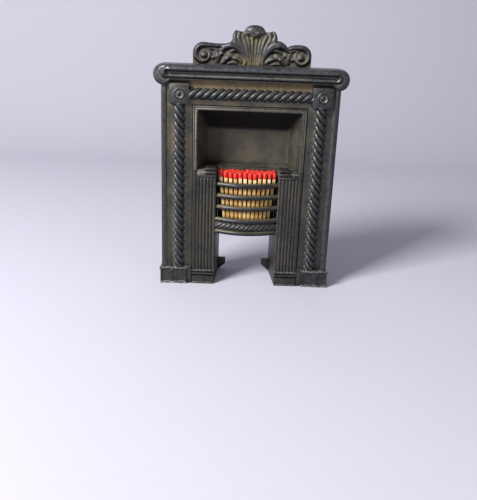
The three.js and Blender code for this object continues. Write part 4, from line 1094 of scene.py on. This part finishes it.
# %% The fireback, put together
FLANGE_X = OPENING_HALF + 13.6
PANEL_OUTER = OPENING_HALF - 0.3

fireback = recess()
into(fireback, second_finish(recess_frame()))
# the flange behind the surround, and the flat panel inside its opening
into(fireback, drawn(
    flat_arch(FLANGE_X, RECESS_HALF - 0.4, 3.0, 85.7, RECESS_TOP - 0.6, 133.5), (0, 2.0, 0), 0.3))
into(fireback, drawn(
    flat_arch(PANEL_OUTER, RECESS_HALF + 0.1, 0.3, HOB_HEIGHT, RECESS_TOP + 0.1, 129.2),
    (0, 2.7, 0), 0.2))
# the sill at the foot of the back wall, and the lip over the back of the basket
sill_half, sill_top = RECESS_HALF - RECESS_SPLAY + 1.0, HOB_HEIGHT + 2.1
sill = [(-6.4, HOB_HEIGHT), (0.5, HOB_HEIGHT), (0.5, sill_top), (0, sill_top)]
into(fireback, swept(
    [(-sill_half, RECESS_DEPTH + y, z) for y, z in sill], 4, (2 * sill_half, 0, 0)))
into(fireback, block((-19.2, 15.9, HOB_HEIGHT - 1.2), (19.2, 17.5, HOB_HEIGHT + 0.09), 0.03))
finished(
    fireback, "fireback_casting", [recess_iron, frame_iron], ["fireback"],
    limit=50)

# %% [markdown]
# ## The hobs
#
# Each hob is a narrow pilaster with fine reeds, a moulded base and a rounded cap, and a cheek
# that runs back from it to carry the basket. A pad with two beads stands on the cap beside the
# matches. The right hob is modelled once. The left one is its mirror image, with its faces
# turned outwards again, because a mirror turns them in.

# %% The hobs
BASKET_HALF = 22.35
CHEEK_DEPTH, CHEEK_SPLAY, CHEEK_PLATE = 33.0, 2.85, 2.4
CHEEK_REAR = BASKET_HALF - CHEEK_SPLAY
CAP_BOTTOM, CAP_REAR, CAP_PLATE = 79.3, 24.2, 2.4
CAP_CURVE, CAP_RISE = 4.4, 1.2
REEDS, REED_RADIUS, REED_FOOT = 5, 0.95, 9.6
PAD_WIDTH, PAD_RISE = 7.4, 1.8


def upright(x, section, top):
    """A strip of one section on the face of the hob, from its base up to a height."""
    return swept([(x + u, v, REED_FOOT) for u, v in section], 2, (0, 0, top - REED_FOOT))


def pilaster_face():
    """The reeds between a rounded inner edge and a rounded outer strip."""
    part = bmesh.new()
    inner, top = BASKET_HALF + 1.9, CAP_BOTTOM + TUCKED
    pitch = (RECESS_HALF - inner) / REEDS
    turn = np.linspace(0, 2 * math.pi, 14, endpoint=False)
    reed = [(REED_RADIUS * math.cos(a), REED_RADIUS * math.sin(a)) for a in turn]
    for i in range(REEDS):
        into(part, upright(inner + pitch * (i + 0.5), reed, top))
    into(part, upright(RECESS_HALF, (
        (0, 0.5), (0, -0.6), (0.5, -1.1), (1.35, -1.2), (2.2, -1.1), (2.65, -0.6), (2.65, 0.5),
    ), HOB_HEIGHT))
    into(part, upright(BASKET_HALF, (
        (0.1, 0.5), (0.1, -0.35), (0.45, -0.6), (0.95, -0.6), (1.3, -0.35), (1.3, 0.5)), top))
    return part


def hob_cap():
    """The cap with its rounded nose and flat top, and the pad with two beads that stands on it."""
    under, width = HOB_HEIGHT - CAP_PLATE, RECESS_HALF - 0.3 - BASKET_HALF
    nose = [
        (CAP_CURVE - (CAP_CURVE + CAP_RISE) * math.cos(a),
         HOB_HEIGHT - CAP_CURVE + CAP_CURVE * math.sin(a))
        for a in np.linspace(0, math.pi / 2, 9)]
    section = [
        (3.0, CAP_BOTTOM), (-0.5, CAP_BOTTOM), (-CAP_RISE, CAP_BOTTOM + 0.7), *nose,
        (CAP_REAR, HOB_HEIGHT), (CAP_REAR, under), (3.0, under)]
    part = soften(swept([(BASKET_HALF, y, z) for y, z in section], 1, (width, 0, 0)), 0.3)
    into(part, block((BASKET_HALF, 0.5, under), (PANEL_OUTER, CAP_REAR, HOB_HEIGHT), 0.2))
    pad_top = HOB_HEIGHT + PAD_RISE
    into(part, block(
        (BASKET_HALF, 0, CAP_BOTTOM + 0.5), (BASKET_HALF + PAD_WIDTH, 8.0, pad_top), 0.5))
    bead = [
        (0, -0.6), (0.7, -0.5), (1.1, -0.1), (1.25, 0.5), (1.25, 7.0), (1.1, 7.5), (0.7, 7.85),
        (0, 7.95)]
    for y, below in ((-0.5, 1.2), (-1.0, 3.85)):
        into(part, turned(bead, (BASKET_HALF, y, pad_top - below), (1, 0, 0), steps=20))
    return part


def hob_base():
    """The base: a block with a fillet at its foot and two rounded mouldings on top."""
    width = PANEL_OUTER - BASKET_HALF
    part = block((BASKET_HALF, -1.8, 0), (PANEL_OUTER, 0.5, 6.2), 0.45)
    into(part, block((BASKET_HALF, -2.15, 0), (PANEL_OUTER, 0.5, 1.5), 0.35))
    for low, high, rise in ((6.2, 8.5, 1.45), (8.5, 10.8, 1.1)):
        middle, tall = (low + high) / 2, (high - low) / 2
        swell = [(-rise * math.cos(a) ** 0.8, middle + tall * math.sin(a))
                 for a in np.linspace(-1.45, 1.45, 9)]
        section = [(0.5, low), *swell, (0.5, high)]
        into(part, swept([(BASKET_HALF, y, z) for y, z in section], 1, (width, 0, 0)))
    return part


def hob_casting(side):
    """The body of the hob with its cheek and rear foot, and all that is cast on it."""
    part = drawn([(x, y, 0) for x, y in (
        (BASKET_HALF, 0), (PANEL_OUTER, 0), (PANEL_OUTER, 3.0), (FLANGE_X, 3.0), (FLANGE_X, 5.0),
        (BASKET_HALF + CHEEK_PLATE, 5.0), (CHEEK_REAR + CHEEK_PLATE, CHEEK_DEPTH),
        (CHEEK_REAR, CHEEK_DEPTH),
    )], (0, 0, HOB_HEIGHT), 0.35)
    for make in (pilaster_face, hob_cap, hob_base):
        into(part, make())
    into(part, drawn([(CHEEK_REAR + x, 30.5, z) for x, z in (
        (0.5, 0), (0, 0), (-5.3, 4.7), (-5.3, 9.4), (0.5, 9.4))], (0, 2.5, 0), 0.3))
    bmesh.ops.scale(part, vec=(side, 1, 1), verts=part.verts)
    return part


for side, name in ((1, "right_hob"), (-1, "left_hob")):
    finished(hob_casting(side), name + "_casting", [hob_iron], [name])

# %% [markdown]
# ## The basket
#
# Three bars and a rope-twist rail bow forward between the cheeks. Each is swept straight from
# one end to the other first, and then every point is moved forward by the bow, a parabola that
# starts from nothing at the cheeks. That keeps the section constant, as a cast bar has it.

# %% Bars and rail
BAR_LEVELS = [74.9, 66.65, 58.4]
BAR_END_Y = 2.8
BAR_BOW = 6.3
BAR_HALF, BAR_TALL = 1.4, 1.7
BAR_STEPS = 44
RAIL_Z, RAIL_LINE_Y = 45.15, 3.2


def arc(cy, cz, radius, start, end, steps):
    """Points on an arc round a centre, with its angles in degrees."""
    angles = [math.radians(start + (end - start) * i / steps) for i in range(steps + 1)]
    return [(cy + radius * math.cos(a), cz + radius * math.sin(a)) for a in angles]


def bow(x):
    """How far forward a bar stands at x, as a negative number."""
    return BAR_BOW * min(0.0, (x / BASKET_HALF) ** 2 - 1)


def bowed(part):
    """Moves a straight part forward, by the bow at each of its points."""
    return moved(part, lambda co: Vector((co.x, co.y + bow(co.x), co.z)))


def bar(z):
    """A bar with a flat back and a rounded front."""
    reach = BASKET_HALF + 1.2
    front = [(-BAR_HALF * math.sin(a), BAR_TALL * math.cos(a))
             for a in np.linspace(0.45, math.pi - 0.45, 8)]
    section = [
        (BAR_HALF, -1.5), (BAR_HALF, 1.5), (1.2, BAR_TALL), (0, BAR_TALL), *front,
        (0, -BAR_TALL), (1.2, -BAR_TALL)]
    ring = [(-reach, BAR_END_Y + y, z + h) for y, h in section]
    return bowed(swept(ring, BAR_STEPS, (2 * reach, 0, 0)))


for name, z in zip(("upper_bar", "middle_bar", "lower_bar"), BAR_LEVELS):
    finished(bar(z), name + "_casting", [blackened_iron], [name])


def rail():
    """The rail: a body with a round edge above and below, and half a rope along its face."""
    reach = BASKET_HALF + 0.2
    section = [(1.0, -5.3), (1.0, 5.3)]
    section += arc(-1.68, 4.45, 1.7, 70, 270, 10) + arc(-1.68, -4.45, 1.7, 90, 290, 10)
    ring = [(-reach, RAIL_LINE_Y + y, RAIL_Z + z) for y, z in section]
    part = bowed(swept(ring, BAR_STEPS, (2 * reach, 0, 0)))
    span = BASKET_HALF + 0.1
    twist = second_finish(rope(2 * span, 2.8, 3.55, 0.75, rings_per_lead=30))
    placed(twist, (-span, RAIL_LINE_Y - 0.9, RAIL_Z), math.pi / 2)
    into(part, bowed(cut_behind(twist, RAIL_LINE_Y - 0.4)))
    return part


finished(rail(), "rope_rail_casting", [blackened_iron, rope_iron], ["rope_rail"])

# %% [markdown]
# ## The matches
#
# A match is a square stick, slightly rounded by splitting, whose end was dipped twice: the head
# swells just above the wood and ends in a blunt dome. One ring is swept up the stick, and a
# formula turns its square into a circle where the head starts. Each match takes its place, lean
# and length from the same rule as its solid, so it fits the basket as the solid does.

# %% One match
STICK = 2.3
HEAD_RADIUS, HEAD_LENGTH = 1.55, 4.6
MATCH_LENGTH = 40.2
MATCH_FOOT = 44.5
GAP = 0.3
WELL_DEPTH = 13.6


def cheek_face(y):
    """How far the inside of a cheek lies from the middle, at a depth."""
    return BASKET_HALF - CHEEK_SPLAY * y / CHEEK_DEPTH


top_half = cheek_face(WELL_DEPTH) - GAP
row_pitch = 2 * HEAD_RADIUS + GAP
columns = math.floor(2 * top_half / row_pitch)
top_pitch, foot_pitch = 2 * top_half / columns, STICK + GAP * 1.5
print(columns, "matches fit side by side,", round(top_pitch, 2), "mm apart at their heads")

HEAD_SHAPE = [  # share of the head's length, share of its radius, how round it is
    (0.0, 0.74, 0.0), (0.02, 0.8, 0.5), (0.07, 0.88, 1.0), (0.2, 0.96, 1.0), (0.4, 1.0, 1.0),
    (0.62, 0.99, 1.0), (0.78, 0.93, 1.0), (0.88, 0.8, 1.0), (0.95, 0.58, 1.0), (0.99, 0.3, 1.0),
]


def match(length, swell):
    """A stick with its head, standing on the origin."""
    sides = 16
    neck = length - HEAD_LENGTH
    stations = [(0.0, 0.74, 0.0), (neck * 0.5, 0.74, 0.0)]
    stations += [(neck + HEAD_LENGTH * a, r, c) for a, r, c in HEAD_SHAPE]
    last = len(stations) - 1
    angles = [math.pi / 4 + 2 * math.pi * i / sides for i in range(sides)]
    part = swept([(math.cos(a), math.sin(a), 0) for a in angles], last, (0, 0, last))

    def shaped(co):
        z, radius, roundness = stations[round(co.z)]
        angle = math.atan2(co.y, co.x)
        square = STICK / 2 / max(abs(math.cos(angle)), abs(math.sin(angle)))
        square = min(square, STICK / 2 * 1.3)
        reach = square * (1 - roundness) + HEAD_RADIUS * radius * swell * roundness
        if roundness == 0.5:
            reach = max(square, HEAD_RADIUS * radius)
        return Vector((reach * math.cos(angle), reach * math.sin(angle), z))

    moved(part, shaped)
    for face in part.faces:
        face.material_index = int(face.calc_center_median().z > neck)
    return part


# %% [markdown]
# ### Four rows
#
# The basket holds the matches in rows that follow the bow of the bars. The feet stand closer
# together than the heads, so the outer matches lean outwards. Real sticks differ a little, and a
# counted rule gives each its own length, swell and tone, which comes out the same in every run.

# %% The rows
fewer = {"front": 0, "second": 1, "third": 0, "fourth": 5}
for row, (row_name, missing) in enumerate(fewer.items()):
    count = columns - missing
    for column in range(count):
        place = column - (count - 1) / 2
        foot_x, top_x = place * foot_pitch, place * top_pitch
        front = BAR_END_Y + BAR_HALF + bow(abs(top_x) + STICK / 2) + GAP
        y = front + STICK / 2 + row * row_pitch
        # no two neighbours have the same length, swell or tone
        length = MATCH_LENGTH - 0.25 * ((column * 5 + row * 3) % 4)
        swell = 1.0 - 0.02 * ((column * 7 + row) % 3)
        tone = 0.8 * ((column * 3 + row * 2) % 5) / 4
        lean = math.atan((top_x - foot_x) / (MATCH_LENGTH - HEAD_LENGTH / 2))
        part = placed(match(length, swell), (foot_x, y, MATCH_FOOT), lean)
        name = f"match_{row_name}_{column + 1:02d}"
        piece = finished(
            part, name + "_stick", [match_wood, match_paste], [name], name)
        tones = piece.data.attributes.new("stick_tone", "FLOAT", "POINT")
        tones.data.foreach_set("value", [tone] * len(piece.data.vertices))
print("Matches in each row:", [columns - missing for missing in fewer.values()])

# %% [markdown]
# ## Table and wall
#
# The holder stands on a plain pale floor that curves up into a wall behind it, as a photographer
# hangs a roll of paper. Two planes would show a line where they meet, so one edge is spun through
# a quarter circle and its ends are drawn out.

# %% Floor and wall
BEND_Y, BEND_RADIUS = 0.45, 0.35


def pale_paper():
    """Matt paper, with a hardly visible cloud of fibres."""
    material, tree, shader, place = new_finish("Pale paper")
    fibre = add(tree, "ShaderNodeTexNoise", {"Vector": place, "Scale": per(4), "Detail": 3.0})
    wire(tree, shader, {"Base Color": coated(tree, "#bfbdc8", (fibre, "#c4c2cd"))})
    shader.inputs["Roughness"].default_value = 0.8
    shader.inputs["Specular IOR Level"].default_value = 0.2
    return material


def backdrop():
    """A straight line turned up through a quarter circle, then drawn out forward and upward."""
    part = bmesh.new()
    line = [part.verts.new((x, BEND_Y, 0)) for x in (-4.0, 4.0)]
    edge = part.edges.new(line)
    bmesh.ops.spin(
        part, geom=line + [edge], cent=(0, BEND_Y, BEND_RADIUS), axis=(1, 0, 0), dvec=(0, 0, 0),
        angle=math.pi / 2, steps=24, use_merge=False, use_duplicate=False)
    for e in [e for e in part.edges if e.is_boundary and e.calc_length() > 7]:
        step = (0, -5.0, 0) if e.verts[0].co.z < 0.01 else (0, 0, 3.0)
        made = bmesh.ops.extrude_edge_only(part, edges=[e])
        bmesh.ops.translate(part, vec=step, verts=vertices_of(made["geom"]))
    bmesh.ops.recalc_face_normals(part, faces=part.faces)
    mesh = bpy.data.meshes.new("backdrop")
    part.to_mesh(mesh)
    part.free()
    mesh.materials.append(pale_paper())
    mesh.shade_smooth()
    sheet = bpy.data.objects.new("backdrop", mesh)
    bpy.context.scene.collection.objects.link(sheet)
    return sheet


paper = backdrop()
print("Backdrop reaches", [round(v, 2) for v in paper.dimensions])

# %% [markdown]
# ## Light
#
# Soft window light falls from the upper left, and a weak fill keeps the right side readable. The
# world gives the rest. The camera sees the wall's own pale tone beyond the paper, while the iron
# reflects a dimmer room, as it does behind a photographer's back.

# %% Light
def lamp(name, place, target, size, power):
    """A square area lamp, turned towards a target."""
    light = bpy.data.lights.new(name, "AREA")
    light.shape, light.size, light.energy = "SQUARE", size, power
    holder = bpy.data.objects.new(name, light)
    holder.location = place
    holder.rotation_euler = (Vector(target) - Vector(place)).to_track_quat("-Z", "Y").to_euler()
    bpy.context.scene.collection.objects.link(holder)
    return holder


lamp("window", (-0.72, -0.66, 0.7), (0, 0, 0.09), 0.4, 24.0)
lamp("fill", (0.9, -0.9, 0.5), (0, 0, 0.09), 0.8, 0.5)

world = bpy.data.worlds.new("studio")
bpy.context.scene.world = world
world.use_nodes = True
tree = world.node_tree
tree.nodes.clear()
path = add(tree, "ShaderNodeLightPath")
seen = add(tree, "ShaderNodeMath", {
    0: path.outputs["Is Camera Ray"], 1: path.outputs["Is Transmission Ray"],
}, operation="MAXIMUM")
ambient = add(tree, "ShaderNodeBackground", {"Color": "#f4f4ff", "Strength": 0.38})
shown = add(tree, "ShaderNodeBackground", {"Color": "#cfcdd9", "Strength": 1.0})
either = add(tree, "ShaderNodeMixShader", {0: seen, 1: ambient, 2: shown})
add(tree, "ShaderNodeOutputWorld", {"Surface": either})
print("Lamps:", [(light.name, light.energy) for light in bpy.data.lights])
bpy.context.scene.view_settings.view_transform = "Standard"

# %% [markdown]
# ## The camera
#
# The photo was taken from a little left of the middle, above the shelf and tilted down, with the
# camera rolled by two degrees. Its place, its three angles and the lens were found by matching
# the corners of the solids to the picture. The camera could aim with a constraint, but written
# axes keep the roll exact.

# %% Camera
def look(place, yaw, pitch, roll, lens):
    """Puts the camera in its place, turned by three angles in degrees."""
    yaw, pitch, roll = (math.radians(a) for a in (yaw, pitch, roll))
    level = Vector((math.cos(yaw), -math.sin(yaw), 0))
    ahead = Vector((math.sin(yaw), math.cos(yaw), 0)) * math.cos(pitch)
    ahead.z = -math.sin(pitch)
    above = level.cross(ahead)
    right = math.cos(roll) * level + math.sin(roll) * above
    up = -math.sin(roll) * level + math.cos(roll) * above
    data = bpy.data.cameras.new("camera")
    data.sensor_width, data.lens, data.clip_start = 36.0, lens, 0.01
    camera = bpy.data.objects.new("camera", data)
    axes = Matrix((right, up, -ahead)).transposed().to_4x4()
    camera.matrix_world = Matrix.Translation(place) @ axes
    bpy.context.scene.collection.objects.link(camera)
    bpy.context.scene.camera = camera
    print("Camera at", place, "with a lens of", lens, "mm")


look((-0.01207, -0.43461, 0.17342), 1.024, 19.158, 2.161, 43.92)
